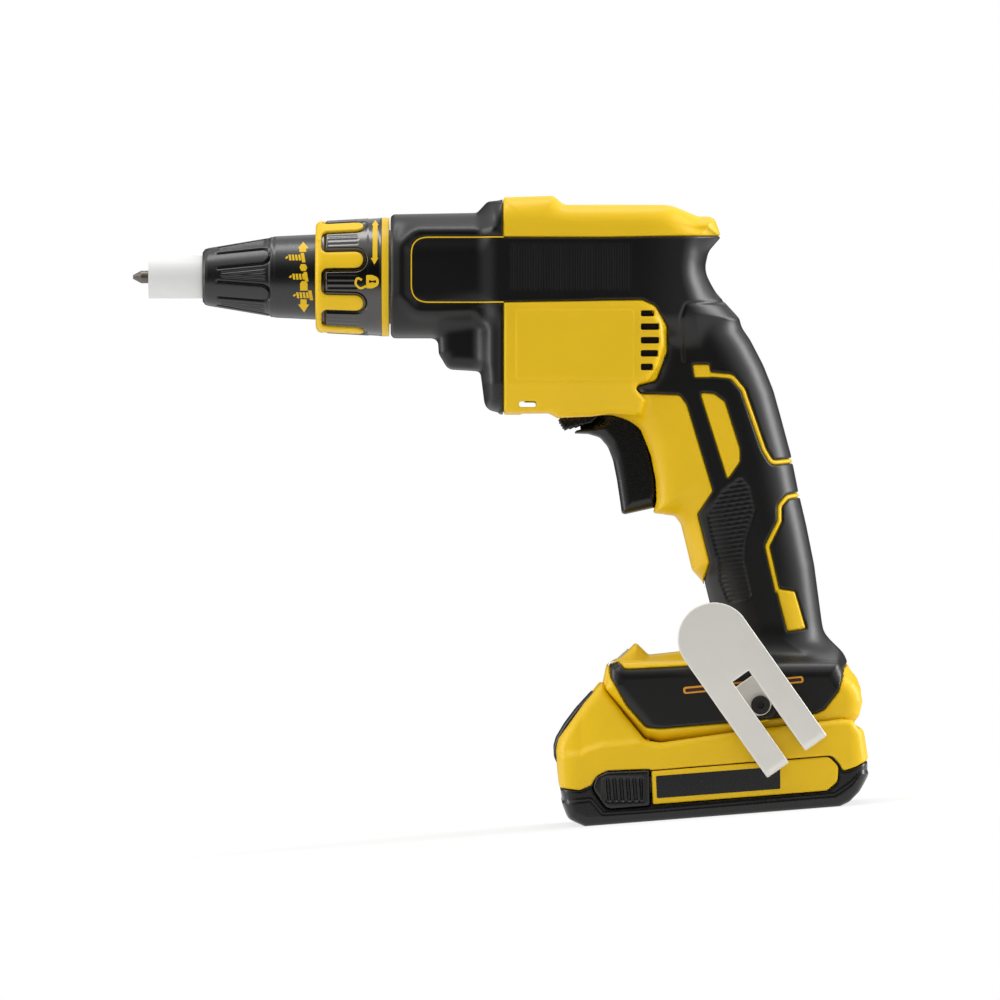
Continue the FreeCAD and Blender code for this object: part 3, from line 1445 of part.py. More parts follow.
def make_tool_terminals():
    front = size.tower_rear + size.sliding_gap
    piece(block_between(
        (front, -size.terminal_block_half_width, rail_top),
        (size.tower_rear + size.terminal_block_length, size.terminal_block_half_width, tower_top),
    ), "tool_terminal_block")
    blades = []
    half = size.blade_thickness / 2
    low = rail_top + size.clip_floor * 2
    for centre in terminal_centres():
        blades.append(block_between((front - size.blade_length, centre - half, low),
                                    (front, centre + half, low + size.blade_height)))
    piece(fuse(*blades), "tool_terminals")


# Belt hook
HOOK_END_PIXEL = (711.8, 637.6)


def hook_frame(outward):
    """Placement of the hook: local X runs down its length and local Z away from the tool."""
    lean = math.radians(size.hook_lean.value)
    along = REARWARDS * math.sin(lean) - UPWARDS * math.cos(lean)
    point = photo(*HOOK_END_PIXEL) - SIDEWAYS * (size.hook_pad_half_width + outward).value
    return Placement(point, Rotation(along, Vector(), -SIDEWAYS, "ZXY"))


def flat_corners(spots):
    return [(Vector(as_size(a).value, as_size(b).value, 0), as_size(r).value) for a, b, r in spots]


def make_hook():
    """Spring-steel hook: a slotted outer plate, two round bends and a base plate under one screw."""
    half = size.hook_width / 2
    half_slot = size.hook_slot_width / 2
    thickness = size.hook_thickness
    outer_level = thickness + size.hook_gap
    bend_radius = size.hook_gap / 2 + thickness
    plate = prism(flat_corners([
        (-half, -half, half), (size.hook_length, -half, 0), (size.hook_length, half, 0),
        (-half, half, half),
    ]), thickness, hook_frame(outer_level), "XY_Plane")
    base_radius = size.hook_base_radius
    base = prism(flat_corners([
        (size.hook_base_start, -half, base_radius), (size.hook_length, -half, 0),
        (size.hook_length, half, 0), (size.hook_base_start, half, base_radius),
    ]), thickness, hook_frame(ZERO), "XY_Plane")
    turn = Placement(Vector(size.hook_length.value, half.value, bend_radius.value),
                     Rotation(Vector(1, 0, 0), 90))
    bend_place = hook_frame(ZERO).multiply(turn)
    bend_outer = cylinder(bend_radius * 2, size.hook_width, bend_place)
    bend_inner = cylinder(size.hook_gap, size.hook_width, bend_place)
    keep = box(bend_radius * 2, size.hook_width, bend_radius * 2,
               hook_frame(ZERO).multiply(Placement(Vector(size.hook_length.value, 0, 0), Rotation())))
    bend = common(cut(bend_outer, bend_inner), keep)
    slot_length = size.hook_length + bend_radius * 2 - size.hook_slot_start
    slot_place = Placement(Vector(size.hook_slot_start.value, 0, 0), Rotation())
    slot = box(slot_length, half_slot * 2, size.hook_gap + thickness + size.overrun,
               hook_frame(thickness).multiply(slot_place))
    base_slot_length = size.hook_length + bend_radius * 2 - size.hook_base_slot_start
    base_slot_place = Placement(Vector(size.hook_base_slot_start.value, 0, 0), Rotation())
    base_slot = box(base_slot_length, half_slot * 2, size.hook_gap + thickness * 2,
                    hook_frame(ZERO).multiply(base_slot_place))
    hole = crosswise(HOOK_SCREW_PIXEL, size.hook_screw_diameter + size.seat_gap * 2, -size.tool_length,
                     ZERO)
    piece(cut(fuse(plate, base, bend), slot, base_slot, hole), "belt_hook")
    head_face = -(size.hook_pad_half_width + thickness)
    head = crosswise(HOOK_SCREW_PIXEL, size.hook_screw_head_diameter,
                     head_face - size.hook_screw_head_length,
                     head_face)
    shank = crosswise(HOOK_SCREW_PIXEL, size.hook_screw_diameter, head_face - size.hook_screw_head_length,
                      head_face + size.hook_screw_length)
    socket = hexagon(size.hook_screw_socket, size.hook_screw_head_length,
                     across_at(HOOK_SCREW_PIXEL,
                               head_face - size.hook_screw_head_length - size.overrun / 2))
    piece(cut(fuse(head, shank), socket), "belt_hook_screw")


# Battery pack
PACK_OUTLINE_PIXELS = [
    (556, 752, 14), (562, 733, 20), (577, 709, 30), (599, 681, 4), (609, 692, 4),
    (625, 713, 14), (641, 733, 10), (838, 717, 4), (850, 717, 8), (862, 730, 9), (867, 757, 14),
    (866, 772, 6), (845, 798, 6), (841, 805, 2), (582, 826, 2), (570, 817, 6), (557, 783, 12),
]
BUTTON_PIXELS = [
    (557.5, 749, 3), (563.5, 733, 16), (578, 710, 24), (591, 694, 3), (598, 698, 3),
    (582, 720, 20), (566, 745, 6), (563, 752, 3),
]
BUTTON_WAY_PIXELS = [
    (545, 753, 0), (585, 688, 0), (591, 690.5, 0), (608, 699.5, 0), (582, 740, 0),
    (573, 757, 0),
]
BUTTON_WEB_PIXELS = [
    (608, 699.5, 0), (621, 708.7, 0), (595, 749, 0), (586, 768.5, 0), (556, 768.5, 0),
    (556, 753, 0), (573, 757, 0), (582, 740, 0),
]
BUTTON_PRESS_PIXEL = (582, 721.5)
GRIP_PLATE_PIXELS = [
    (594, 782, 4), (603, 771.5, 6), (648, 768, 2), (650, 800, 2), (641, 805, 3), (605, 808, 8),
    (594, 796, 8),
]
LABEL_PLATE_PIXELS = [(654, 768, 2), (826, 754, 8), (836, 768, 10), (829, 787, 8), (655, 800, 2)]


def pack_solid(depth):
    """The pack block, moved inwards by a depth, with its corners rounded in plan."""
    half = size.pack_half_width - depth
    corners = inset(photo_corners(PACK_OUTLINE_PIXELS), depth.value)
    side = side_prism(corners, -size.pack_half_width - size.overrun, size.pack_half_width + size.overrun)
    reach = size.pack_half_length - depth
    plan = rectangle(-reach, reach, -half, half, size.pack_corner_radius - depth)
    run = prism(plan, size.pack_height, Placement(Vector(0, 0, depth.value), Rotation()), "XY_Plane")
    return common(side, run)


def pack_slice(low, high):
    reach = size.tool_length
    return block_between((-reach, -reach, low), (reach, reach, high))


def pack_screw_spots():
    return [(side * size.pack_screw_reach.value, across * size.pack_screw_aside.value)
            for side in (-1, 1) for across in (-1, 1)]


def upright_rod(spot, diameter, low, high):
    low = as_size(low)
    high = as_size(high)
    return cylinder(diameter, high - low, Placement(Vector(spot[0], spot[1], low.value), Rotation()))


def cell_places():
    """Five cells side by side, each lying across the pack."""
    count = int(size.cell_count.value)
    return [size.cell_pitch * (step - (count - 1) / 2) for step in range(count)]


def cell_rods(extra, reach):
    """Cell cylinders, wider by extra and as long as reach to each side."""
    rods = []
    for place in cell_places():
        base = Placement(Vector(place.value, -reach.value, size.cell_height.value),
                         Rotation(Vector(1, 0, 0), -90))
        rods.append(cylinder(size.cell_diameter + extra, reach * 2, base))
    return rods


def button_press(distance):
    """Placement a distance out from the button's inner face; local Z points out of the pack."""
    lean = math.radians(size.button_lean.value)
    out = UPWARDS * math.sin(lean) - REARWARDS * math.cos(lean)
    point = photo(*BUTTON_PRESS_PIXEL) + out * as_size(distance).value
    return Placement(point, Rotation(Vector(), SIDEWAYS, out, "ZYX"))


def make_pack():
    """Slide-on battery pack: two case halves around five cells, with a release button in the nose."""
    wall = size.pack_wall
    split = size.pack_split
    outer = pack_solid(ZERO)
    cavity = pack_solid(wall)
    bosses = [upright_rod(spot, size.pack_boss_diameter, ZERO, size.pack_top)
              for spot in pack_screw_spots()]
    button_half = size.button_width / 2
    web_half = button_half + size.button_web_margin
    web = side_prism(photo_corners(BUTTON_WEB_PIXELS), -web_half, web_half)
    hollow = cut(cavity, *bosses, web)
    shell = cut(outer, hollow)
    head_seat = size.pack_screw_seat
    plates = []
    pockets = []
    for table in (GRIP_PLATE_PIXELS, LABEL_PLATE_PIXELS):
        corners = photo_corners(table)
        inner = size.pack_half_width - size.plate_depth
        pocket = side_prism(corners, inner, size.pack_half_width + size.overrun)
        plate = side_prism(inset(corners, size.seat_gap.value), inner,
                           size.pack_half_width + size.plate_proud)
        pockets += [pocket, mirrored(pocket)]
        plates.append(fuse(plate, mirrored(plate)))
    shank_holes = [upright_rod(spot, size.pack_screw_diameter + size.seat_gap * 2,
                               head_seat - size.overrun,
                               head_seat + size.pack_screw_length + size.seat_gap)
                               for spot in pack_screw_spots()]
    head_holes = [upright_rod(spot, size.pack_screw_head_diameter + size.sliding_gap * 2, -size.overrun,
                              head_seat)
                  for spot in pack_screw_spots()]
    lower = common(shell, pack_slice(-size.overrun, split))
    piece(cut(lower, *shank_holes, *head_holes, *pockets), "battery_lower_case")
    piece(plates[0], "battery_grips")
    piece(plates[1], "battery_side_plates")
    neck = block_between((-size.tower_front, -size.rail_neck_half_width, size.pack_top - wall),
                         (size.tower_rear, size.rail_neck_half_width, rail_top))
    head = block_between((-size.tower_front, -size.rail_head_half_width, rail_top),
                         (size.tower_rear, size.rail_head_half_width, tower_top))
    socket_floor = rail_top + size.clip_floor
    half_socket = size.socket_width / 2
    half_clip = half_socket - size.seat_gap
    half_blade = size.blade_thickness / 2 + size.seat_gap
    socket_front = size.tower_rear - size.blade_length - size.overrun
    sockets = []
    clips = []
    for centre in terminal_centres():
        sockets.append(block_between((socket_front, centre - half_socket, socket_floor),
                                     (size.tower_rear + size.overrun, centre + half_socket,
                                      tower_top + size.overrun)))
        clip = block_between((socket_front + size.seat_gap, centre - half_clip, socket_floor),
                             (size.tower_rear - size.seat_gap, centre + half_clip,
                              tower_top - size.seat_gap * 4))
        slit = block_between((socket_front, centre - half_blade, socket_floor + size.clip_floor / 2),
                             (size.tower_rear + size.overrun, centre + half_blade,
                              tower_top + size.overrun))
        clips.append(cut(clip, slit))
    upper = common(shell, pack_slice(split + size.seat_gap, size.tool_length))
    way_half = button_half + size.sliding_gap
    way = side_prism(photo_corners(BUTTON_WAY_PIXELS), -way_half, way_half)
    spring_bore = cylinder(size.release_spring_diameter + size.release_spring_wire + size.sliding_gap * 2,
                           size.release_spring_length, button_press(-size.release_spring_length))
    piece(cut(fuse(upper, neck, head), *shank_holes, *sockets, way, spring_bore), "battery_upper_case")
    piece(fuse(*clips), "battery_terminals")
    button = side_prism(photo_corners(BUTTON_PIXELS), -button_half, button_half)
    piece(button, "battery_release_button")
    piece(wire_coil(size.release_spring_wire, size.release_spring_diameter, size.release_spring_length,
                    size.release_spring_turns, button_press(-size.release_spring_length)),
                    "release_spring")
    screws = []
    for spot in pack_screw_spots():
        shank = upright_rod(spot, size.pack_screw_diameter, head_seat - size.pack_screw_head_length,
                            head_seat + size.pack_screw_length)
        head_disc = upright_rod(spot, size.pack_screw_head_diameter,
                                head_seat - size.pack_screw_head_length, head_seat)
        screws.append(fuse(shank, head_disc))
    piece(fuse(*screws), "battery_screws")


def make_cells():
    half_cell = size.cell_length / 2
    piece(fuse(*cell_rods(ZERO, half_cell)), "battery_cells")
    floor = size.pack_wall + size.seat_gap
    half_row = size.cell_pitch * (size.cell_count - 1) / 2 + size.comb_end
    top = size.cell_height + size.cell_diameter / 2 + size.holder_margin
    combs = []
    for side in (-1, 1):
        near = size.comb_place * side - size.comb_thickness / 2
        combs.append(block_between((-half_row, near, floor), (half_row, near + size.comb_thickness, top)))
    tie_half = size.comb_place
    tie_low = top - size.holder_margin / 2
    ties = []
    for side in (-1, 1):
        middle = size.cell_pitch * side
        half_tie = size.cell_pitch / 4
        ties.append(block_between((middle + size.cell_pitch / 2 - half_tie, -tie_half, tie_low),
                                  (middle + size.cell_pitch / 2 + half_tie, tie_half, top)))
    piece(cut(fuse(*combs, *ties), *cell_rods(size.seat_gap * 2, half_cell * 2)), "cell_holder")
    straps = []
    strap_half = size.strap_height / 2
    for side in (-1, 1):
        inner = (half_cell + size.seat_gap / 2) * side
        outer = inner + size.strap_thickness * side
        low, high = (outer, inner) if side < 0 else (inner, outer)
        straps.append(block_between((-half_row, low, size.cell_height - strap_half),
                                    (half_row, high, size.cell_height + strap_half)))
    piece(fuse(*straps), "cell_straps")
    board_low = top + size.seat_gap
    piece(block_between((-size.pack_board_half_length, -size.pack_board_half_width, board_low),
                        (size.pack_board_half_length, size.pack_board_half_width,
                         board_low + size.pack_board_thickness)), "battery_board")


make_controls()
make_tool_terminals()
make_hook()
make_pack()
make_cells()


# Finished pieces
def write_pieces():
    document.recompute()
    for feature in document.Objects:
        if "Invalid" in feature.State or "Error" in feature.State:
            raise RuntimeError(f"{feature.Label} did not build: {feature.State}")
    os.makedirs("parts", exist_ok=True)
    for feature in pieces:
        if feature.Shape.isNull() or not feature.Shape.isValid():
            raise RuntimeError(f"{feature.Label} is not a sound solid")
        feature.Shape.exportStep(f"parts/{feature.Label}.step")


write_pieces()
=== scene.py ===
"""Looks of the cordless drywall screwdriver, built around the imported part.

Moulded shells are signed distance fields on a grid that is aligned with the side view, then meshed. Lengths
in the fields are millimetres, and outlines are pixel corners of the side view, each with its corner radius.
"""

import functools
import json
import math

import bpy
import numpy as np
from mathutils import Matrix, Vector
from mathutils.geometry import delaunay_2d_cdt


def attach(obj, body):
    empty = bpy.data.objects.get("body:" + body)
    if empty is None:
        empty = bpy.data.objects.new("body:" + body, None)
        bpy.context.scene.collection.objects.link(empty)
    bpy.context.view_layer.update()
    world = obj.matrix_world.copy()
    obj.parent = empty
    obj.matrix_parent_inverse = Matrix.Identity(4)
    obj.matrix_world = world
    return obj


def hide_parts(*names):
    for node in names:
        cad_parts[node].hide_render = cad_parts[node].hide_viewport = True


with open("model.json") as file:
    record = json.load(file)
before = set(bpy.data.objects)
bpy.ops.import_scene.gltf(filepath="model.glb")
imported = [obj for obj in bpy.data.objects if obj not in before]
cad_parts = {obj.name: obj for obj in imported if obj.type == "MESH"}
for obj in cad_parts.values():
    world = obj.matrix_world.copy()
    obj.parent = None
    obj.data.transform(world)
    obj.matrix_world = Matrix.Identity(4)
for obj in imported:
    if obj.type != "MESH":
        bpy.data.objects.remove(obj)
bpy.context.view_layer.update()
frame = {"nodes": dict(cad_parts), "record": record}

# Side view to part frame
PIXEL = 267.0 / 734.0
BASE_PIXEL = (715.5, 813.2)
BARREL_PIXEL = (391.0, 277.0)
TILT = math.radians(4.5)
REARWARDS = np.array((math.cos(TILT), 0.0, -math.sin(TILT)))
SIDEWAYS = np.array((0.0, 1.0, 0.0))
UPWARDS = np.array((math.sin(TILT), 0.0, math.cos(TILT)))
AXIS_V = (BASE_PIXEL[1] - BARREL_PIXEL[1]) * PIXEL
AXIS_U = (BARREL_PIXEL[0] - BASE_PIXEL[0]) * PIXEL


def mm(across, down):
    """Side-view pixel to millimetres right of and above the middle of the base."""
    return (across - BASE_PIXEL[0]) * PIXEL, (BASE_PIXEL[1] - down) * PIXEL


def to_part(points):
    """Right, depth and up in millimetres to the part frame in metres."""
    points = np.asarray(points, float)
    turned = points[:, :1] * REARWARDS + points[:, 1:2] * SIDEWAYS + points[:, 2:] * UPWARDS
    return turned / 1000.0


# Outlines
CORNER_TURNS = 7


def rounded(corners):
    """Outline or open line through pixel corners (x, y) or (x, y, radius), in millimetres."""
    spots = [np.array(mm(c[0], c[1])) for c in corners]
    radii = [c[2] * PIXEL if len(c) > 2 else 0.0 for c in corners]
    line = []
    count = len(spots)
    for i, spot in enumerate(spots):
        before = spots[i - 1] - spot
        after = spots[(i + 1) % count] - spot
        room = 0.49 * min(np.linalg.norm(before), np.linalg.norm(after))
        before = before / np.linalg.norm(before)
        after = after / np.linalg.norm(after)
        half = math.acos(max(-1.0, min(1.0, float(before @ after)))) / 2
        if radii[i] <= 0 or half > 1.56 or half < 0.02:
            line.append(spot)
            continue
        reach = min(radii[i] / math.tan(half), room)
        start, end = spot + before * reach, spot + after * reach
        for t in np.arange(CORNER_TURNS + 1) / CORNER_TURNS:
            line.append(start * (1 - t) ** 2 + spot * 2 * t * (1 - t) + end * t * t)
    return np.array(line)


# Flat distance fields
def segment_field(line, u, v, closed):
    """Least distance to the line, and whether each place is inside it."""
    best = np.full(np.broadcast(u, v).shape, 1e9, np.float32)
    inside = np.zeros(best.shape, bool)
    ends = np.roll(line, -1, axis=0) if closed else line[1:]
    starts = line if closed else line[:-1]
    for (ax, ay), (bx, by) in zip(starts, ends):
        dx, dy = bx - ax, by - ay
        length = dx * dx + dy * dy
        if length < 1e-12:
            continue
        t = np.clip(((u - ax) * dx + (v - ay) * dy) / length, 0.0, 1.0)
        best = np.minimum(best, (u - ax - t * dx) ** 2 + (v - ay - t * dy) ** 2)
        if closed and ay != by:
            crosses = (ay > v) != (by > v)
            inside ^= crosses & (u < ax + dx * (v - ay) / dy)
    return np.sqrt(best), inside


def flat(corners, u, v):
    """Signed distance to a closed outline: negative inside."""
    distance, inside = segment_field(rounded(corners), u, v, True)
    return np.where(inside, -distance, distance).astype(np.float32)


def line_distance(corners, u, v):
    return segment_field(rounded(corners), u, v, False)[0].astype(np.float32)


# Blends
def ramp(start, end, x):
    t = np.clip((x - start) / (end - start), 0.0, 1.0)
    return t * t * (3 - 2 * t)


def window(rise, fall, x):
    """One between the rise and the fall, each given by its start and end, and nothing outside them."""
    return ramp(*rise, x) * (1 - ramp(*fall, x))


def profile(px, level, *changes):
    """Level along the side view: each change has its height and the pixels where it starts and ends."""
    for change, start, end in changes:
        level = level + change * ramp(start, end, px)
    return level


def meet(*fields):
    """What lies inside all the fields."""
    return functools.reduce(np.maximum, fields)


def cut(field, *holes):
    """What lies inside the field and outside the holes."""
    for hole in holes:
        field = np.maximum(field, -hole)
    return field


def soft_min(a, b, k):
    h = np.maximum(k - np.abs(a - b), 0.0) / k
    return np.minimum(a, b) - h * h * k * 0.25


def soft_max(a, b, k):
    return -soft_min(-a, -b, k)


def round_join(a, b, r):
    """Both fields at once, with an edge of that radius between them."""
    p, q = a + r, b + r
    return np.minimum(np.maximum(p, q), 0.0) + np.hypot(np.maximum(p, 0.0), np.maximum(q, 0.0)) - r


class Grid:
    """Even grid over a pixel window of the side view and a range of depth."""

    def __init__(self, view, depth, step):
        x0, y0, x1, y1 = view
        u0, v1 = mm(x0, y0)
        u1, v0 = mm(x1, y1)
        self.step = step
        self.origin = np.array((u0, depth[0], v0))
        counts = [int((b - a) / step) + 2 for a, b in ((u0, u1), depth, (v0, v1))]
        self.axes = [
            (start + step * np.arange(count, dtype=np.float32)).reshape(shape)
            for start, count, shape in zip((u0, depth[0], v0), counts, ((-1, 1, 1), (1, -1, 1), (1, 1, -1)))]

    def mesh(self, field):
        whole = np.broadcast_to(field, [axis.size for axis in self.axes])
        return surface(np.ascontiguousarray(whole), self.origin, self.step)


CORNERS = [(a, b, c) for a in (0, 1) for b in (0, 1) for c in (0, 1)]
EDGES = [(i, j) for i in range(8) for j in range(i + 1, 8)
         if sum(abs(p - q) for p, q in zip(CORNERS[i], CORNERS[j])) == 1]


def surface(field, origin, step):
    """Points and quads of the zero surface: one point in each cell that the surface crosses."""
    inside = field < 0
    size = tuple(n - 1 for n in field.shape)
    total = np.zeros(size, np.uint8)
    for spot in CORNERS:
        total += inside[tuple(slice(a, a + n) for a, n in zip(spot, size))]
    cells = np.argwhere((total > 0) & (total < 8))
    number = np.full(size, -1, np.int32)
    number[tuple(cells.T)] = np.arange(len(cells))
    values = [field[tuple((cells + spot).T)] for spot in CORNERS]
    place = np.zeros((len(cells), 3))
    hits = np.zeros(len(cells))
    for a, b in EDGES:
        crossed = (values[a] < 0) != (values[b] < 0)
        gap = np.where(crossed, values[a] - values[b], 1.0)
        t = np.where(crossed, values[a] / gap, 0.0)
        start, end = np.array(CORNERS[a], float), np.array(CORNERS[b], float)
        place += np.where(crossed[:, None], start + t[:, None] * (end - start), 0.0)
        hits += crossed
    place = cells + place / hits[:, None]
    limit = np.array(field.shape) - 1.001
    for _ in range(2):
        place = np.clip(place, 0.0, limit)
        value, slope = sample(field, place)
        steep = np.maximum((slope ** 2).sum(axis=1), 0.05 * step * step)
        move = slope * (value / steep)[:, None]
        length = np.linalg.norm(move, axis=1, keepdims=True)
        place = place - move * np.minimum(1.0, 0.6 / np.maximum(length, 1e-9))
    quads = []
    steps = np.eye(3, dtype=int)
    for axis in range(3):
        low, high = [slice(1, -1)] * 3, [slice(1, -1)] * 3
        low[axis], high[axis] = slice(0, -1), slice(1, None)
        a, b = inside[tuple(low)], inside[tuple(high)]
        around = [steps[axis - 2] * i + steps[axis - 1] * j for i, j in ((1, 1), (0, 1), (0, 0), (1, 0))]
        for crossed, order in ((a & ~b, 1), (b & ~a, -1)):
            spots = np.argwhere(crossed)
            ring = [number[tuple((spots + shift).T)] for shift in around]
            quads.append(np.stack(ring[::order], axis=1))
    return origin + place * step, np.concatenate(quads)


def sample(field, place):
    """Value and slope, in cells, of the field at places given in cells."""
    base = place.astype(np.int64)
    t = place - base
    values = np.empty((2, 2, 2, len(place)))
    for a, b, c in CORNERS:
        values[a, b, c] = field[base[:, 0] + a, base[:, 1] + b, base[:, 2] + c]
    wa, wb, wc = [np.stack((1 - t[:, i], t[:, i])) for i in range(3)]
    value = np.einsum("abcn,an,bn,cn->n", values, wa, wb, wc)
    slope = np.stack((
        np.einsum("bcn,bn,cn->n", values[1] - values[0], wb, wc),
        np.einsum("acn,an,cn->n", values[:, 1] - values[:, 0], wa, wc),
        np.einsum("abn,an,bn->n", values[:, :, 1] - values[:, :, 0], wa, wb),
    ), axis=1)
    return value, slope


# Objects
def new_object(name, data):
    made = bpy.data.objects.new(name, data)
    bpy.context.scene.collection.objects.link(made)
    return made


def new_material(name):
    """Material with its node tree and main shader."""
    finish = bpy.data.materials.new(name)
    finish.use_nodes = True
    return finish, finish.node_tree, finish.node_tree.nodes["Principled BSDF"]


def add(name, points, faces, finish, body, slot, *stands_for, smooth=True):
    """Mesh piece from side-view points in millimetres, in place of the nodes that it stands for."""
    mesh = bpy.data.meshes.new(name)
    points = to_part(points).astype(np.float32)
    counts = np.array([len(face) for face in faces])
    corners = np.concatenate(faces).astype(np.int32)
    mesh.vertices.add(len(points))
    mesh.vertices.foreach_set("co", points.ravel())
    mesh.loops.add(len(corners))
    mesh.loops.foreach_set("vertex_index", corners)
    mesh.polygons.add(len(counts))
    starts = np.concatenate(([0], np.cumsum(counts)[:-1]))
    mesh.polygons.foreach_set("loop_start", starts.astype(np.int32))
    mesh.update(calc_edges=True)
    mesh.validate()
    mesh.polygons.foreach_set("use_smooth", np.full(len(mesh.polygons), smooth))
    mesh.materials.append(finish)
    piece = new_object(name, mesh)
    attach(piece, body)
    if stands_for:
        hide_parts(*stands_for)


def moulded(name, grid, field, finish, body, slot, *stands_for, far=False):
    """Meshed field, turned over where it is the far one of a pair."""
    points, quads = grid.mesh(field)
    if far:
        points, quads = points * (1.0, -1.0, 1.0), quads[:, ::-1]
    add(name, points, quads, finish, body, slot, *stands_for)


# Shader nodes
def node(tree, kind, inputs, **settings):
    """New node with its settings and with values or links on its inputs."""
    made = tree.nodes.new(kind)
    for name, value in settings.items():
        setattr(made, name, value)
    for name, value in inputs.items():
        if isinstance(value, bpy.types.NodeSocket):
            tree.links.new(value, made.inputs[name])
        else:
            made.inputs[name].default_value = value
    return made


def calc(tree, operation, *values):
    return node(tree, "ShaderNodeMath", dict(enumerate(values)), operation=operation).outputs[0]


def spread(tree, value, levels, span=(0.0, 1.0), **settings):
    """Value carried over from a span to two levels."""
    inputs = dict(zip(("From Min", "From Max", "To Min", "To Max"), (*span, *levels)), Value=value)
    return node(tree, "ShaderNodeMapRange", inputs, **settings).outputs["Result"]


# Materials
SLOW_SCALE, SLOW_DETAIL, SLOW_SPAN = 35.0, 5.0, (0.3, 0.7)
FINE_DETAIL, GLOSS_SWING, RELIEF = 3.0, 0.08, 0.35


def material(name, colour, roughness, metallic=0.0, tint=0.08, grain=900.0, bump=0.02, specular=0.5,
             streaks=None):
    """Moulded or metal surface with a fine grain, slow colour changes and uneven gloss."""
    finish, tree, shader = new_material(name)
    shader = shader.inputs
    shader["Metallic"].default_value = metallic
    shader["Specular IOR Level"].default_value = specular
    place = tree.nodes.new("ShaderNodeTexCoord").outputs["Object"]
    slow = node(tree, "ShaderNodeTexNoise", {"Vector": place, "Scale": SLOW_SCALE, "Detail": SLOW_DETAIL})
    shade = node(tree, "ShaderNodeValToRGB", {"Fac": slow.outputs["Fac"]})
    for stop, spot, level in zip(shade.color_ramp.elements, SLOW_SPAN, (1 - tint, 1 + tint)):
        stop.position = spot
        stop.color = [min(1.0, c * level) for c in colour] + [1.0]
    tree.links.new(shade.outputs["Color"], shader["Base Color"])
    if streaks:
        place = node(tree, "ShaderNodeMapping", {"Vector": place, "Scale": streaks}).outputs["Vector"]
    fine = node(tree, "ShaderNodeTexNoise", {"Vector": place, "Scale": grain, "Detail": FINE_DETAIL})
    fine = fine.outputs["Fac"]
    gloss = spread(tree, fine, (roughness - GLOSS_SWING, roughness + GLOSS_SWING))
    tree.links.new(gloss, shader["Roughness"])
    relief = node(tree, "ShaderNodeBump", {"Height": fine, "Strength": RELIEF, "Distance": bump / 1000.0})
    tree.links.new(relief.outputs["Normal"], shader["Normal"])
    return finish


YELLOW = material("yellow_moulding", (0.75, 0.475, 0.003), 0.38, tint=0.03, grain=1400, bump=0.015,
                  specular=0.3)
RUBBER = material("soft_black", (0.004, 0.0038, 0.0036), 0.36, tint=0.2, grain=1800, bump=0.012,
                  specular=0.45)
BLACK = material("gloss_black", (0.004, 0.0039, 0.0037), 0.28, tint=0.15, grain=1500, bump=0.008)
SATIN_BLACK = material("satin_black", (0.005, 0.0048, 0.0046), 0.30, tint=0.15, grain=1500, bump=0.008,
                       specular=0.7)
COLLAR_BLACK = material("collar_black", (0.10, 0.098, 0.095), 0.20, metallic=1.0, tint=0.1, grain=1500,
                        bump=0.004)
STEEL = material("brushed_steel", (0.62, 0.60, 0.57), 0.36, metallic=1.0, tint=0.05, grain=260, bump=0.01,
                 streaks=(0.4, 4.0, 6.0))
BIT_STEEL = material("bit_steel", (0.16, 0.145, 0.125), 0.35, metallic=0.7, tint=0.1, grain=500, bump=0.01)
SATIN = material("satin_metal", (0.68, 0.68, 0.67), 0.5, tint=0.04, grain=400, bump=0.008, specular=0.6,
                 streaks=(0.5, 5.0, 5.0))
PLATED = material("plated_steel", (0.70, 0.68, 0.63), 0.40, metallic=0.25, tint=0.03, grain=700, bump=0.008)
DARK_STEEL = material("dark_steel", (0.02, 0.018, 0.016), 0.4, metallic=0.3, tint=0.15, grain=600, bump=0.01)
BRASS = material("brass", (0.65, 0.45, 0.16), 0.32, metallic=1.0, tint=0.08, grain=500)
COPPER = material("copper_enamel", (0.45, 0.16, 0.05), 0.35, metallic=0.6, tint=0.15, grain=500, bump=0.1)
BOARD = material("circuit_board", (0.02, 0.11, 0.04), 0.45, tint=0.2, grain=300)
LENS = material("clear_lens", (0.55, 0.57, 0.6), 0.2, tint=0.03, grain=300)
# Near-black red-brown: painted shade for the inside of the slot in the foot
SLOT_SHADE = material("painted_slot_shade", (0.035, 0.006, 0.004), 0.6, tint=0.2)
# Orange: the yellow moulding darkened into painted shade along the rim of the slot in the foot
SLOT_RIM_SHADE = material("painted_slot_rim_shade", (0.70, 0.29, 0.003), 0.5, tint=0.05, grain=1400, bump=0.03)

# Outlines of the housing in pixels of the side view
BARREL_OUTLINE = [
    (330, 216), (477, 213.5, 6), (487.5, 202.5, 8), (503, 201.5), (565, 207, 10), (670, 207, 40),
    (697, 218, 15), (713, 218, 8), (720, 238, 3), (708, 252, 20), (704, 270, 26), (714, 294, 30), (735, 320),
    (700, 345), (640, 330), (487, 330), (439, 338, 4), (330, 338)]
CHIN_OUTLINE = [
    (436, 300), (520, 300), (520, 414), (503, 413.5, 2), (488, 409, 9), (481, 371, 6), (448, 369, 10),
    (439, 354, 6)]
BOX_OUTLINE = [
    (500, 300.5), (639, 301, 6), (651.5, 307.2, 10), (662, 324.5, 14), (663.5, 345, 18), (657.2, 367.5, 16),
    (647.5, 381.5, 10), (637, 385.5, 2), (637, 391, 3), (645, 400, 6), (640, 417, 6), (612, 414, 8),
    (590, 417, 6), (558, 418, 3), (549, 413, 5), (500, 413.5)]
CAP_OUTLINE = [
    (502.5, 198.6, 2), (553, 197, 6), (565, 207, 10), (670, 207, 40), (697, 218, 15), (713, 218, 8),
    (720, 237, 3), (502.5, 239)]
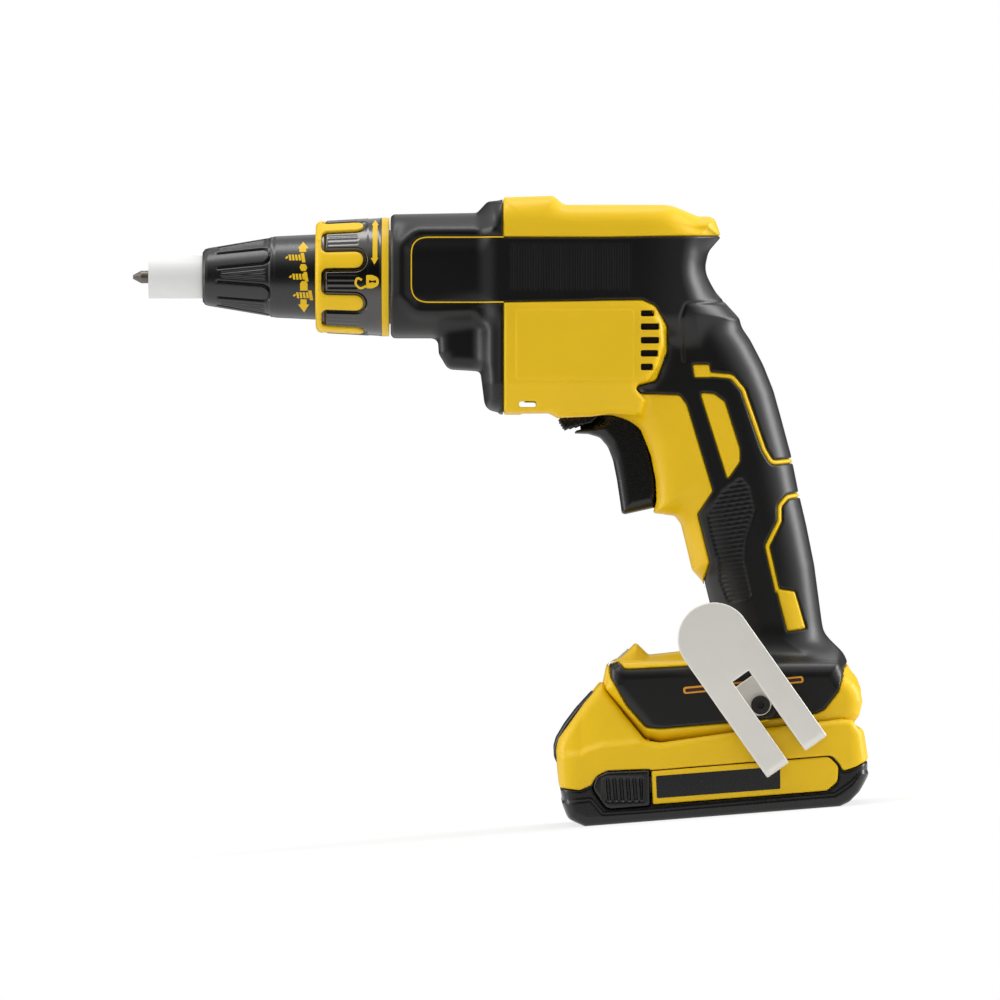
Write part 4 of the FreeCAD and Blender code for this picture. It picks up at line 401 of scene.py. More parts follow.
HANDLE_OUTLINE = [
    (590, 395), (628, 418, 3), (640, 430, 8), (650, 455, 30), (655, 480, 30), (656, 500, 12), (653, 513, 2),
    (675, 516, 5), (681, 524, 6), (692, 570, 6), (702, 581, 4), (706, 592, 8), (712, 612, 20), (724, 646, 20),
    (715, 680), (842, 680), (835, 656, 20), (823, 632, 30), (820, 610, 60), (814, 565, 80), (806, 525, 80),
    (798, 491, 80), (791, 456, 80), (780, 415, 80), (773, 390, 80), (763, 365, 60), (750, 340, 50),
    (735, 318, 40), (716, 300), (690, 275), (590, 275)]
FOOT_OUTLINE = [
    (604.5, 687.5, 3), (609, 666, 5), (618, 661, 4), (626, 662, 2), (690, 660, 10), (836, 660, 6),
    (842, 674, 6), (852, 681, 6), (858, 690, 6), (860, 700, 6), (857, 714, 5), (848, 725.8, 4),
    (660, 740.6, 4), (644.5, 736.6, 6), (623.6, 710.5, 10)]
WEDGE_OUTLINE = [(616, 668), (618, 661, 4), (636, 642.5, 3), (649, 655, 4), (694, 650, 8), (706, 668)]
BUMPER_ZONE = [
    (370, 180), (503, 180), (503, 238.4), (411.5, 238.4, 17), (411.5, 303.3, 17), (503.5, 303.3),
    (503.5, 430), (370, 430)]
GRIP_ZONE = [
    (411.5, 238.4, 17), (503, 238.4), (600, 238.8), (722, 236.5), (770, 236), (800, 330), (850, 520),
    (870, 640), (842, 668), (836, 690, 8), (822, 708, 6), (814, 712, 4), (728, 721, 6), (660, 727, 4),
    (645, 726, 6), (625.6, 704, 8), (610, 676, 6), (609, 665, 3), (618, 661, 2), (624, 668, 5),
    (690, 665, 12), (712, 640, 20), (709, 602, 6), (704, 580), (709, 562, 3), (697, 514, 4), (712, 491, 4),
    (686, 405, 8), (679, 395.5, 6), (640, 394, 3), (635.5, 389.5, 2), (638, 386, 3), (655.5, 381.3, 8),
    (666.4, 352.5, 14), (666, 327, 14), (654.5, 307, 10), (641, 301, 6), (503.5, 303.3), (411.5, 303.3, 17)]
HOOP_LINE = [
    (492, 231), (415, 231, 16), (402.5, 246, 10), (402.5, 296, 10), (415, 313.5, 16), (474, 313.5, 12),
    (489.5, 328, 12), (489.5, 400)]
INLAY = [(699, 393, 3), (713, 394, 6), (724, 402, 4), (739, 449, 6), (739, 462, 4), (726.5, 480, 2)]
STRIPE_TAB = [(691.5, 365, 1.5), (708.5, 365, 1.5), (710.5, 378, 1.5), (693.5, 378, 1.5)]
STRIPE_ONE = [(708, 375), (731, 377, 8), (742, 390, 6), (763, 450, 8), (771, 463, 6), (793, 460.5)]
STRIPE_TWO = [(800, 494.5), (786, 497, 8), (778.5, 506, 6), (778.5, 521, 4), (766, 546, 5), (776, 590)]
STRIPE_PANEL = [(775, 588, 1), (794, 591, 3), (805, 628, 1), (786, 631, 2)]
RIB_PATCH = [
    (707, 514, 4), (722, 491, 8), (740, 478, 3), (748, 488, 6), (753, 511, 8), (744, 538, 8), (742, 560, 8),
    (751, 597, 4), (728, 603, 6), (719, 580, 10), (718, 560, 10), (711, 535, 8)]
SEAM_LINE = [(683, 362), (680, 318, 8), (685, 304.5, 6), (722, 302.5)]
PANEL = [(516, 311, 3), (633, 311, 3), (633, 380, 3), (516, 380, 3)]
VENTS = [
    (640, 311.5, 653, 317.5), (640, 324.5, 658, 331), (640, 338, 658, 344.5), (640, 351, 657, 357.5),
    (640, 364.5, 652, 371)]
# Outline of a dark sheet behind the vents: painted shade that stands for the dark inside of the vent pockets
VENT_SHADE_SHEET = [
    (634, 306, 2), (649, 309, 6), (657.5, 326, 10), (659, 345, 14), (653, 366, 12), (644, 377, 6),
    (634, 377, 2)]
SLOT = [(519, 402, 2), (536, 402, 2), (536, 407.5, 2), (519, 407.5, 2)]
TRIGGER = [
    (574, 433.5, 2), (576, 430.6, 1), (592.6, 426.2, 4), (601.6, 417.6, 2), (604, 408, 4), (640, 409, 8),
    (652, 440, 20), (660, 474, 20), (661.5, 494, 8), (657, 507.2, 3), (640, 511, 4), (622, 515, 4),
    (620, 500, 20), (617, 480, 30), (613, 460, 30), (608, 447, 16), (600, 437.5, 10), (588, 434, 6)]
TRIGGER_WAY = [(585, 402), (664, 402), (682, 470), (682, 509), (640, 513), (585, 440)]
LEVER_FIN = [
    (580, 426.5), (591, 423.4), (598.6, 415.4), (600, 410), (605.6, 410), (603.4, 418.8), (593.8, 428.2),
    (581, 431.4)]
LEVER = [
    (558, 421, 2), (561, 418, 2), (587, 416, 2), (597, 411, 2), (600, 416, 2), (592, 424, 4), (572, 428.5, 2),
    (564, 430.5, 2)]
SCREWS = [(600, 236), (688, 262), (462, 352), (520, 393), (752, 500), (640, 683), (812, 670)]

# Widths, edges and blends of the housing in millimetres, with the pixels where a width changes
BODY_HALF, HANDLE_HALF, FOOT_HALF, WEDGE_HALF = 26.6, 17.0, 33.0, 15.0
BARREL_HALF = (22.8, (3.0, 474, 500), (-8.4, 636, 738))
BARREL_EDGE = (16.0, (-8.0, 478, 505), (6.0, 660, 720))
CHIN_HALF = (17.0, (9.0, 470, 505))
CAP_HALF = (24.6, (-7.0, 640, 722))
MOUTH_EDGE, CHIN_EDGE, BOX_EDGE, CAP_EDGE, FOOT_EDGE, WEDGE_EDGE = 1.6, 5.0, 3.0, 8.0, 6.0, 4.0
CHIN_BLEND, BOX_BLEND, CAP_BLEND, HANDLE_BLEND, FOOT_BLEND, WEDGE_BLEND = 3.0, 1.2, 1.5, 5.0, 14.0, 3.0
HANDLE_EDGE, TRIGGER_CUT = 16.0, 7.0
PANEL_RISE = 0.5
CREASE, LEAN = 384, 0.1
FOOT_LIP, LIP_SIDES, LIP_REAR = 0.8, ((19.0, 20.0), (25.0, 26.0)), (634, 650)
HOOK_SCREW, HOOK_PAD, HOOK_PAD_HALF, HOOK_NUT = (758, 703), 6.5, 36.3, 3.6
SKIN, SKIN_BED, SKIN_EDGE, WALL, SEAM = 1.5, 1.52, 0.7, 2.4, 0.05
STRIPE_HALF, SCREW_WELL, VENT_DEPTH = 0.85, 3.4, 3.0
TRIGGER_WAY_HALF, LEVER_WAY_HALF, LEVER_PLAY = 9.0, 13.0, 0.7

# Rail between foot and pack, in millimetres of the part frame
RAIL_NECK, RAIL_HEAD = (14.0, 36.0), (17.0, 43.2)
RAIL_RUN = (-22.0, 40.0)
RAIL_PLAY = 0.5
PACK_PLANE = 27.4


def pixels(u, v):
    return BASE_PIXEL[0] + u / PIXEL, BASE_PIXEL[1] - v / PIXEL


def along_rail(u, v):
    """How far back along the rail and how high above the base."""
    return u * math.cos(TILT) + v * math.sin(TILT), v * math.cos(TILT) - u * math.sin(TILT)


def wave(place, period):
    return np.cos(place * (2 * math.pi / period))


def housing_field(u, y, v):
    """Outside of the moulded housing."""
    px, py = pixels(u, v)
    side = np.abs(y)

    def block(outline, half, edge, grown=0.0):
        return round_join(flat(outline, u, v) - grown, side - half, edge)

    lean = LEAN * np.maximum(py - CREASE, 0.0)
    panel = PANEL_RISE * (flat(PANEL, u, v) < 0)
    handle_edge = HANDLE_EDGE - TRIGGER_CUT * (1 - ramp(664, 704, px)) * (1 - ramp(512, 560, py))
    whole = block(BARREL_OUTLINE, profile(px, *BARREL_HALF), profile(px, *BARREL_EDGE))
    whole = round_join(whole, AXIS_U - u, MOUTH_EDGE)
    whole = soft_min(whole, block(CHIN_OUTLINE, profile(px, *CHIN_HALF) - lean, CHIN_EDGE), CHIN_BLEND)
    whole = soft_min(whole, block(BOX_OUTLINE, BODY_HALF + panel - lean, BOX_EDGE), BOX_BLEND)
    whole = soft_min(whole, block(CAP_OUTLINE, profile(px, *CAP_HALF), CAP_EDGE), CAP_BLEND)
    whole = soft_min(whole, block(HANDLE_OUTLINE, HANDLE_HALF, handle_edge), HANDLE_BLEND)
    lip = FOOT_LIP * (window(*LIP_SIDES, side) * (1 - ramp(*LIP_REAR, px)))
    foot = block(FOOT_OUTLINE, FOOT_HALF, FOOT_EDGE, lip)
    foot = soft_min(foot, block(WEDGE_OUTLINE, WEDGE_HALF, WEDGE_EDGE), WEDGE_BLEND)
    pad_u, pad_v = mm(*HOOK_SCREW)
    out = np.hypot(u - pad_u, v - pad_v)
    pad = np.maximum(round_join(out - HOOK_PAD, side - HOOK_PAD_HALF, 0.8), HOOK_NUT - out)
    foot = np.minimum(foot, np.maximum(pad, FOOT_HALF - 2.0 - side))
    return soft_min(whole, foot, FOOT_BLEND)


def rubber_zone(u, v):
    """Where the soft skin lies: bumper, band, grip and boot without the yellow inlays and stripes."""
    zone = np.minimum(flat(BUMPER_ZONE, u, v), flat(GRIP_ZONE, u, v))
    zone = cut(zone, *(flat(island, u, v) for island in (INLAY, STRIPE_TAB, STRIPE_PANEL)))
    return meet(zone, *(STRIPE_HALF - line_distance(stripe, u, v) for stripe in (STRIPE_ONE, STRIPE_TWO)))


def rubber_relief(u, v):
    """How far the soft skin stands out of the moulding: hoop, ribbed band, ribbed patch and seam."""
    px, py = pixels(u, v)
    lift = 0.05 + 1.5 * np.exp(-(line_distance(HOOP_LINE, u, v) / 2.6) ** 2)
    band = window((507, 511), (629, 633), px) * window((243, 246), (290, 293), py)
    lift = lift + 0.22 * band * wave(px, 5.2)
    patch = np.clip(0.5 - flat(RIB_PATCH, u, v) / 0.8, 0.0, 1.0)
    lift = lift + patch * (-0.45 + 0.22 * wave(py + 0.15 * px, 4.6))
    lift = lift - 0.55 * np.exp(-(line_distance(SEAM_LINE, u, v) / 0.55) ** 2)
    return lift.astype(np.float32)


def build_housing(step):
    grid = Grid((384, 190, 868, 748), (-38.0, 1.0), step)
    u, y, v = grid.axes
    outside = housing_field(u, y, v)
    zone = rubber_zone(u, v)
    half = y + SEAM
    skin = soft_max(outside - rubber_relief(u, v), zone + 0.1, SKIN_EDGE)
    skin = meet(skin, -(outside + SKIN), half)
    shell = outside + SKIN_BED * np.clip(0.6 - zone / SKIN_EDGE, 0.0, 1.0)
    shell = cut(shell, shell + WALL)
    for x0, y0, x1, y1 in VENTS:
        vent = flat([(x0, y0, 1), (x1, y0, 1), (x1, y1, 1), (x0, y1, 1)], u, v)
        shell = cut(shell, np.maximum(vent, y + BODY_HALF - VENT_DEPTH))
    way = np.maximum(flat(TRIGGER_WAY, u, v), -y - TRIGGER_WAY_HALF)
    way = np.minimum(way, np.maximum(flat(LEVER, u, v) - LEVER_PLAY, -y - LEVER_WAY_HALF))
    back, high = along_rail(u, v)
    rail_way = meet(np.abs(y) - RAIL_HEAD[0], high - RAIL_HEAD[1], back - RAIL_RUN[1]) - RAIL_PLAY
    shell = np.maximum(cut(shell, flat(SLOT, u, v), way, rail_way), half)
    skin = cut(skin, way, rail_way)
    far_shell, far_skin = shell, skin
    for spot in SCREWS:
        su, sv = mm(*spot)
        well = np.hypot(u - su, v - sv) - SCREW_WELL
        far_shell = cut(far_shell, well)
        far_skin = cut(far_skin, well - 0.2)
    moulded("housing_near", grid, shell, YELLOW, "tool", "yellow_plastic", "left_housing")
    moulded("housing_far", grid, far_shell, YELLOW, "tool", "yellow_plastic", "right_housing", far=True)
    moulded("skin_near", grid, skin, RUBBER, "tool", "soft_black", "left_overmould")
    moulded("skin_far", grid, far_skin, RUBBER, "tool", "soft_black", "right_overmould", far=True)


# Thin pieces that lie on a surface
def ribbon(corners, width):
    """Closed outline of a strip along a path."""
    line = rounded(corners)
    along = np.gradient(line, axis=0)
    along /= np.linalg.norm(along, axis=1, keepdims=True)
    across = np.stack((-along[:, 1], along[:, 0]), axis=1) * width / 2
    return np.concatenate((line + across, (line - across)[::-1]))


def dense(line, spacing):
    """Closed outline with more points."""
    points = []
    for start, end in zip(line, np.roll(line, -1, axis=0)):
        count = max(1, int(math.ceil(np.linalg.norm(end - start) / spacing)))
        points.extend(start + (end - start) * i / count for i in range(count))
    return np.array(points)


def fill(loops, spacing):
    """Triangles of the area inside the first loop and outside the others."""
    loops = [dense(np.asarray(loop), spacing) for loop in loops]
    points, edges = [], []
    for loop in loops:
        first = len(points)
        points.extend(loop)
        edges.extend((first + i, first + (i + 1) % len(loop)) for i in range(len(loop)))

    def within(places):
        keep = np.full(len(places), True)
        room = np.full(len(places), 1e9)
        for number, loop in enumerate(loops):
            distance, inside = segment_field(loop, places[:, 0], places[:, 1], True)
            keep &= inside if number == 0 else ~inside
            room = np.minimum(room, distance)
        return keep, room

    low, high = loops[0].min(axis=0), loops[0].max(axis=0)
    net = np.stack(np.meshgrid(*(np.arange(a, b, spacing) for a, b in zip(low, high))), -1).reshape(-1, 2)
    keep, room = within(net)
    points.extend(net[keep & (room > spacing * 0.45)])
    made = delaunay_2d_cdt([Vector(p) for p in points], edges, [], 0, 1e-7)
    spots = np.array([tuple(p) for p in made[0]])
    faces = np.array([tuple(face) for face in made[2]])
    keep = within(spots[faces].mean(axis=1))[0]
    return spots, faces[keep]


def slab(spots, faces, top, bottom):
    """Closed sheet between two sets of points over the same triangles."""
    count = len(spots)
    edges = dict.fromkeys((int(a), int(b)) for face in faces for a, b in zip(face, np.roll(face, -1)))
    rim = [(a, b) for a, b in edges if (b, a) not in edges]
    quads = [(b, a, a + count, b + count) for a, b in rim]
    tops = [tuple(int(i) for i in face) for face in faces]
    lows = [tuple(int(i) + count for i in face[::-1]) for face in faces]
    points = np.concatenate((top, bottom))
    used = sorted({i for face in tops + lows + quads for i in face})
    number = {old: new for new, old in enumerate(used)}
    return points[used], [tuple(number[i] for i in face) for face in tops + lows + quads]


def on_side(name, loops, depth, proud, sunk, finish, body, slot, spacing=0.9, both=False):
    """Sheet whose outlines are in the side view and whose depth comes from a surface."""
    spots, faces = fill(loops, spacing)
    level = depth(spots[:, 0], spots[:, 1])
    for side in ((1, -1) if both else (1,)):
        top, bottom = (np.stack((spots[:, 0], side * (level + deep), spots[:, 1]), axis=1)
                       for deep in (-proud, sunk))
        points, polygons = slab(spots, faces, top, bottom)
        polygons = [face[::side] for face in polygons]
        add(name if side > 0 else name + "_far", points, polygons, finish, body, slot, smooth=False)


def housing_depth(u, v):
    """Depth of the near side of the housing, without the relief of the soft skin."""
    levels = np.linspace(-40.0, 0.0, 201, dtype=np.float32)
    field = housing_field(u[:, None], levels[None, :], v[:, None])
    first = np.argmax(field < 0, axis=1).clip(1)
    rows = np.arange(len(u))
    before, after = field[rows, first - 1], field[rows, first]
    return levels[first - 1] + (levels[first] - levels[first - 1]) * before / (before - after)


def skin_depth(u, v):
    return housing_depth(u, v) - rubber_relief(u, v)


def plane(level):
    return lambda u, v: np.full(len(u), level)


# Round pieces on the barrel
def barrel_point(station, radius, angle):
    """Places on the barrel: angle 0 faces the near side and a quarter turn points up."""
    station, radius, angle = np.broadcast_arrays(station, radius, angle)
    return np.stack((AXIS_U + station, -radius * np.cos(angle), AXIS_V + radius * np.sin(angle)), axis=-1)


def rings(turns, *spans):
    """Grid of stations and angles, with the start, end and count of each span of stations."""
    stations = np.concatenate([np.linspace(*span) for span in spans])
    return np.meshgrid(stations, np.arange(turns) * 2 * math.pi / turns, indexing="ij")


def tube(name, stations, angles, outer, bore, finish, body, slot, *stands_for):
    """Closed ring with its outer radius over the grid, and its bore as stations and radii from the rear."""
    places, radii = np.array(bore).T[..., None]
    points = np.concatenate((barrel_point(stations, outer, angles), barrel_point(places, radii, angles[:1])))
    total, turns = points.shape[:2]
    ring = np.arange(turns)
    after = (ring + 1) % turns
    quads = []
    for row in range(total):
        a, b = row * turns, ((row + 1) % total) * turns
        quads.append(np.stack((a + ring, a + after, b + after, b + ring), axis=1))
    add(name, points.reshape(-1, 3), np.concatenate(quads), finish, body, slot, *stands_for)


def stadium(along, across, start, end, half):
    """Distance to a strip with round ends."""
    near = np.clip(along, start + half, end - half)
    return np.hypot(along - near, across) - half


# Stations along the barrel, negative in front of its mouth, with the radii there
NOSE_TIP, NOSE_END, COLLAR_TIP, COLLAR_END, BIT_TIP, BIT_END = -68.45, -9.35, -27.3, -3.3, -93.85, -80.0
NOSE_STATIONS = (NOSE_TIP, -67.6, -66.45, -44.45, -41.85, -27.35, NOSE_END)
NOSE_RADII = (9.0, 10.1, 10.5, 14.2, 14.8, 15.5, 15.5)
NOSE_BORE = ((NOSE_END, 13.0), (-40.0, 13.0), (-40.6, 9.8), (-56.6, 9.8), (-57.2, 8.1), (NOSE_TIP, 8.1))
COLLAR_STATIONS, COLLAR_RADII = (COLLAR_TIP, -26.6, -25.0, COLLAR_END), (18.6, 19.7, 20.4, 21.6)
COLLAR_BORE = ((COLLAR_END, 19.8), (COLLAR_TIP, 16.3))
BIT_STATIONS = (BIT_TIP, -93.4, -90.9, -89.6, -86.0, BIT_END)
BIT_RADII = (0.45, 0.75, 1.75, 2.15, 2.3, 2.3)
BIT_BORE = ((BIT_END, 0.3), (BIT_TIP, 0.05))

# Six thumb pads of the nose and eight fingers of the collar
PAD_TURN, PAD_SECTOR, PAD_HALF, PAD_END, PAD_GROOVE = math.radians(3), math.radians(60), 3.0, -43.9, 0.85
RIB_STEP, RING_AT, RING_RISE = 1.3, -43.6, 0.28
FINGERS, FINGER_TURN, FINGER_SECTOR = 8, math.radians(16.5), math.pi / 8
FINGER_ROOT, FINGER_END, FINGER_HALF, FINGER_FILLET, FINGER_RADIUS = -25.1, -9.9, 2.95, 2.4, 20.4
FINGER_RISE, FINGER_DEEP, FINGER_ROUND, MOAT, LOBE_STEP, REAR_GROOVE = 0.15, 1.5, 0.35, 1.1, 1.9, 0.15


def nose_radius(station):
    return np.interp(station, NOSE_STATIONS, NOSE_RADII)


def collar_radius(station):
    return np.interp(station, COLLAR_STATIONS, COLLAR_RADII)


def build_nosecone():
    s, a = rings(720, (NOSE_TIP, -66.0, 14), (-65.8, -41.0, 160), (-40.6, NOSE_END, 50))
    base = nose_radius(s)
    across = ((a - PAD_TURN) % PAD_SECTOR - PAD_SECTOR / 2) * base
    pad = stadium(s, across, -75.0, PAD_END, PAD_HALF)
    groove = PAD_GROOVE * np.exp(-(np.maximum(pad, 0.0) / 0.75) ** 2)
    groove = np.where(pad <= 0, PAD_GROOVE * ramp(-0.55, 0.0, pad), groove)
    groove = groove * window((-63.8, -62.4), (-44.2, -42.8), s)
    ribbed = ramp(1.1, 2.0, pad) * window((-62.5, -61.0), (-46.5, -45.0), s)
    radius = base - groove - ribbed * (0.22 + 0.12 * wave(across, RIB_STEP))
    radius = radius + RING_RISE * np.exp(-((s - RING_AT) / 0.5) ** 2)
    tube("nosecone_shell", s, a, radius, NOSE_BORE, SATIN_BLACK, "nose", "black_plastic", "nosecone")


def finger_outline():
    """Sector of the yellow band with one finger, unrolled."""
    edge = FINGER_SECTOR * FINGER_RADIUS
    start = -FINGER_HALF - FINGER_FILLET
    low = [(COLLAR_TIP, -edge), (FINGER_ROOT, -edge), (FINGER_ROOT, start)]
    for i in range(1, 7):
        t = math.radians(15 * i)
        low.append((FINGER_ROOT + FINGER_FILLET * (1 - math.cos(t)), start + FINGER_FILLET * math.sin(t)))
    tip = []
    for i in range(13):
        t = math.radians(-90 + 15 * i)
        tip.append((FINGER_END - FINGER_HALF + FINGER_HALF * math.cos(t), FINGER_HALF * math.sin(t)))
    return np.array(low + tip + [(x, -y) for x, y in reversed(low)])


def build_collar():
    s, a = rings(880, (COLLAR_TIP, -25.0, 10), (-24.9, COLLAR_END, 170))
    base = collar_radius(s)
    turn = (a - FINGER_TURN + FINGER_SECTOR) % (2 * FINGER_SECTOR) - FINGER_SECTOR
    finger = np.minimum(stadium(s, turn * base, -40.0, FINGER_END, FINGER_HALF + 0.1), s + 24.9)
    moat = MOAT * (1 - ramp(0.7, 1.9, finger)) * (1 - ramp(-7.6, -6.6, s))
    lobe = ramp(1.9, 2.5, finger) * window((-24.5, -22.5), (-12.4, -11.2), s)
    lobe_across = (np.abs(turn) - FINGER_SECTOR) * base
    radius = base - moat - lobe * (0.06 + 0.06 * wave(lobe_across, LOBE_STEP))
    radius = radius - REAR_GROOVE * window((-8.6, -7.8), (-4.2, COLLAR_END), s)
    tube("collar_shell", s, a, radius, COLLAR_BORE, COLLAR_BLACK, "collar", "black_plastic", "lock_collar")
    outline = finger_outline()
    spots, faces = fill([outline], 0.7)
    along, across = spots.T
    edge = segment_field(outline, along, across, True)[0]
    edge = np.where(np.abs(np.abs(across) - FINGER_SECTOR * FINGER_RADIUS) < 0.05, 1.0, edge)
    round_off = FINGER_ROUND * (1 - ramp(0.0, 0.9, edge))
    points, polygons = [], []
    for number in range(FINGERS):
        angle = FINGER_TURN + number * math.pi / 4 + across / FINGER_RADIUS
        top = barrel_point(along, collar_radius(along) + FINGER_RISE - round_off, angle)
        low = barrel_point(along, collar_radius(along) - FINGER_DEEP, angle)
        made, sides = slab(spots, faces[:, ::-1], top, low)
        polygons += [tuple(i + len(points) for i in face) for face in sides]
        points.extend(made)
    add("collar_fingers", points, polygons, YELLOW, "collar", "yellow_plastic", "collar_band")


def build_bit():
    """Point of the bit with four grooves."""
    s, a = rings(96, (BIT_TIP, -88.0, 60), (-87.8, BIT_END, 6))
    turn = (a + math.radians(20)) % (math.pi / 2) - math.pi / 4
    groove = np.exp(-(turn / math.radians(17)) ** 2) * (1 - ramp(-90.2, -87.6, s))
    radius = np.interp(s, BIT_STATIONS, BIT_RADII) * (1 - 0.48 * groove)
    tube("bit_point", s, a, radius, BIT_BORE, BIT_STEEL, "spindle", "steel")


# Signs on the nose: turning arrows, screws at three depths and an open padlock
def on_nose(radius):
    def depth(u, v):
        r = radius(u - AXIS_U)
        return -np.sqrt(np.maximum(r * r - (v - AXIS_V) ** 2, 0.01))
    return depth


def slanted(x, y, wide, tall, slant):
    """Upright stroke whose foot lies further right than its top."""
    return [(x, y), (x + wide, y), (x + wide + slant, y + tall), (x + slant, y + tall)]


def screw_sign(x, y, head):
    """Small screw with its head to the right: thread strokes, a point on the left and a slanted head."""
    strokes = [[(x, y + 3.4), (x + 2.2, y + 1.2), (x + 3.2, y + 2.8), (x + 1.6, y + 4.4)]]
    strokes += [slanted(x + 3.4 + 3.2 * i, y, 2.2, 5.8, 1.0) for i in range(4)]
    strokes.append(slanted(head, y - 1.8, 3.4, 9.6, 1.6))
    return strokes


NOSE_MARKS = [
    [(303.7, 242.3), (309.5, 249.2), (306.8, 249.2), (306.8, 252.7), (300, 252.7), (300, 249.2),
     (298.4, 249.2)],
    [(301.5, 265), (306, 265), (308, 268.4), (306.5, 271.8), (302, 271.8), (300.3, 268.4)],
    [(302.4, 282), (306.6, 282), (308.3, 284.5), (308.3, 291.3), (300.8, 291.3), (300.8, 284.5)],
    [(301, 300), (307.2, 300), (307.2, 305), (309.8, 305), (304.5, 312.7), (298.7, 305), (301, 305)],
]
NOSE_SCREWS = [(285.7, 255.4, 301.2), (289.6, 274.6, 304.2), (293.4, 293.0, 308.8)]
COLLAR_ARROW = [
    (375.6, 220.5), (379.2, 226), (378, 226), (378, 259.2), (378.9, 259.2), (375.1, 265.7), (371.4, 259.2),
    (373.2, 259.2), (373.2, 226), (372, 226)]
LOCK_BODY = [
    (366.9, 276.2, 1.5), (373, 276.2, 4), (379.5, 279, 6), (379.5, 286.6, 6), (373, 289.5, 4),
    (366.9, 289.5, 1.5)]
LOCK_KEYHOLE = [
    (369.6, 281, 1.4), (372.4, 281.9, 0.5), (373.8, 281.9, 0.5), (376.8, 281, 1.4), (376.8, 284.4, 1.4),
    (373.8, 283.5, 0.5), (372.4, 283.5, 0.5), (369.6, 284.4, 1.4)]
LOCK_BOW = [(366.9, 287.1), (360.6, 290.2, 5), (355.6, 284.6, 5), (358, 278.6, 4), (362.6, 281.2)]


def build_signs():
    depth = on_nose(nose_radius)
    loops = list(NOSE_MARKS)
    for screw in NOSE_SCREWS:
        loops += screw_sign(*screw)
    for number, loop in enumerate(loops):
        on_side(f"nose_sign_{number}", [rounded(loop)], depth, 0.06, 0.25, YELLOW, "nose",
                "yellow_plastic", spacing=0.5)
    signs = {
        "collar_arrow": [rounded(COLLAR_ARROW)],
        "collar_lock_body": [rounded(LOCK_BODY), rounded(LOCK_KEYHOLE)],
        "collar_lock_bow": [ribbon(LOCK_BOW, 0.8)],
    }
    depth = on_nose(collar_radius)
    for name, loops in signs.items():
        on_side(name, loops, depth, 0.1, 0.3, YELLOW, "collar", "yellow_plastic", spacing=0.5)


# Battery pack
PACK_OUTLINE = [
    (601.6, 681, 3), (606.5, 690, 2), (625, 715, 12), (644, 738, 8), (660, 740, 4), (728, 730), (838, 716, 3),
    (850, 717, 8), (862, 730, 12), (867, 757, 14), (866.5, 772, 8), (856, 789, 8), (846, 799, 8),
    (836, 803.7, 6), (585, 823.5, 5), (568, 816, 10), (561, 800, 8), (557.5, 785, 2), (555, 762, 3),
    (554.4, 749, 8), (558, 738, 8), (569, 723, 14), (584, 702, 14), (593, 691.5, 4)]
YELLOW_EDGE = [
    (530, 660), (880, 660), (880, 753), (866, 757.5, 4), (853, 764.5, 5), (840, 769, 4), (836.5, 762, 6),
    (829, 753.4, 8), (649, 768.2, 1), (648, 767), (606, 768.5, 10), (594.5, 776, 8), (590.5, 783, 6),
    (579, 788, 5), (558, 785.5, 2), (530, 783)]
PACK_GRIP = [
    (591.5, 786, 10), (596, 774, 8), (606, 769.5, 6), (648, 767.8, 1.5), (648.5, 803, 3), (606, 806.5, 10)]
PLATE = [
    (650, 768.8, 1.5), (826, 754.4, 8), (835.5, 764, 8), (834.5, 779, 9), (824, 788, 9), (651.5, 801.6, 1.5)]
PLATE_PANEL = [(654.5, 773.5, 1.5), (777.5, 764, 1.5), (777.8, 786.2, 1.5), (655.5, 795.6, 1.5)]
BUTTON = [
    (592, 690.3, 2), (597, 695.5, 3), (596, 701.8, 4), (583.4, 717, 20), (571.8, 732.4, 30),
    (562.8, 744.5, 20), (557.5, 755, 3), (557, 763.3, 1), (553.9, 756.6, 4), (553.4, 746, 10),
    (555.8, 737.5, 12), (564.1, 723.5, 30), (575.6, 708.2, 30)]
CREASE_LINE = (540, 580.7, 586.5, 602.4, 625, 656, 840, 870), (757, 754.7, 751, 745.8, 744, 738.5, 722, 719)
RIM_LINE = (560, 590, 602, 643, 832, 848, 858), (800, 797, 811, 808.5, 792, 781, 770)

# Sizes of the pack in millimetres
PACK_HALF, PACK_REACH, PACK_CORNER, PACK_EDGE, PACK_LEAN, PACK_LEDGE = 36.0, 57.5, 9.0, 3.2, 0.3, 1.1
CHEEK_PLAY, CASE_GAP, CASE_EDGE, CASE_LAP, UPPER_WALL, LOWER_WALL = 0.35, 0.12, 0.6, 2.0, 2.4, 3.0
LOWER_SUNK, RIM_LIP, POCKET_DEPTH, POCKET_PLAY, INSET_DEPTH = 0.35, 0.55, 1.3, 0.3, 1.2
GRIP_RISE, GRIP_EDGE, PLATE_RISE, PLATE_EDGE = 0.75, 0.9, 0.3, 0.5
BUTTON_STROKE, BUTTON_PLAY, BUTTON_ROOM, BUTTON_HALF, BUTTON_EDGE = (1.72, -1.2), 0.35, 13.6, 13.0, 1.6
PACK_DEPTH = (-39.0, 39.0)


def pack_field(u, y, v):
    """Outside of the battery pack."""
    px, py = pixels(u, v)
    lean = np.maximum(np.interp(px, *CREASE_LINE) - py, 0.0) * PIXEL
    ledge = 1 - ramp(636, 654, px)
    half = PACK_HALF - PACK_LEAN * lean - PACK_LEDGE * ledge * ramp(0.0, 3.0, lean)
    along, high = along_rail(u, v)
    plan = round_join(np.abs(along) - PACK_REACH, np.abs(y) - half, PACK_CORNER)
    body = round_join(flat(PACK_OUTLINE, u, v), plan.astype(np.float32), PACK_EDGE)
    between_cheeks = np.maximum(np.abs(y) - FOOT_HALF - CHEEK_PLAY, mm(646, 0)[0] - u)
    return cut(body, np.maximum(between_cheeks, PACK_PLANE - high))


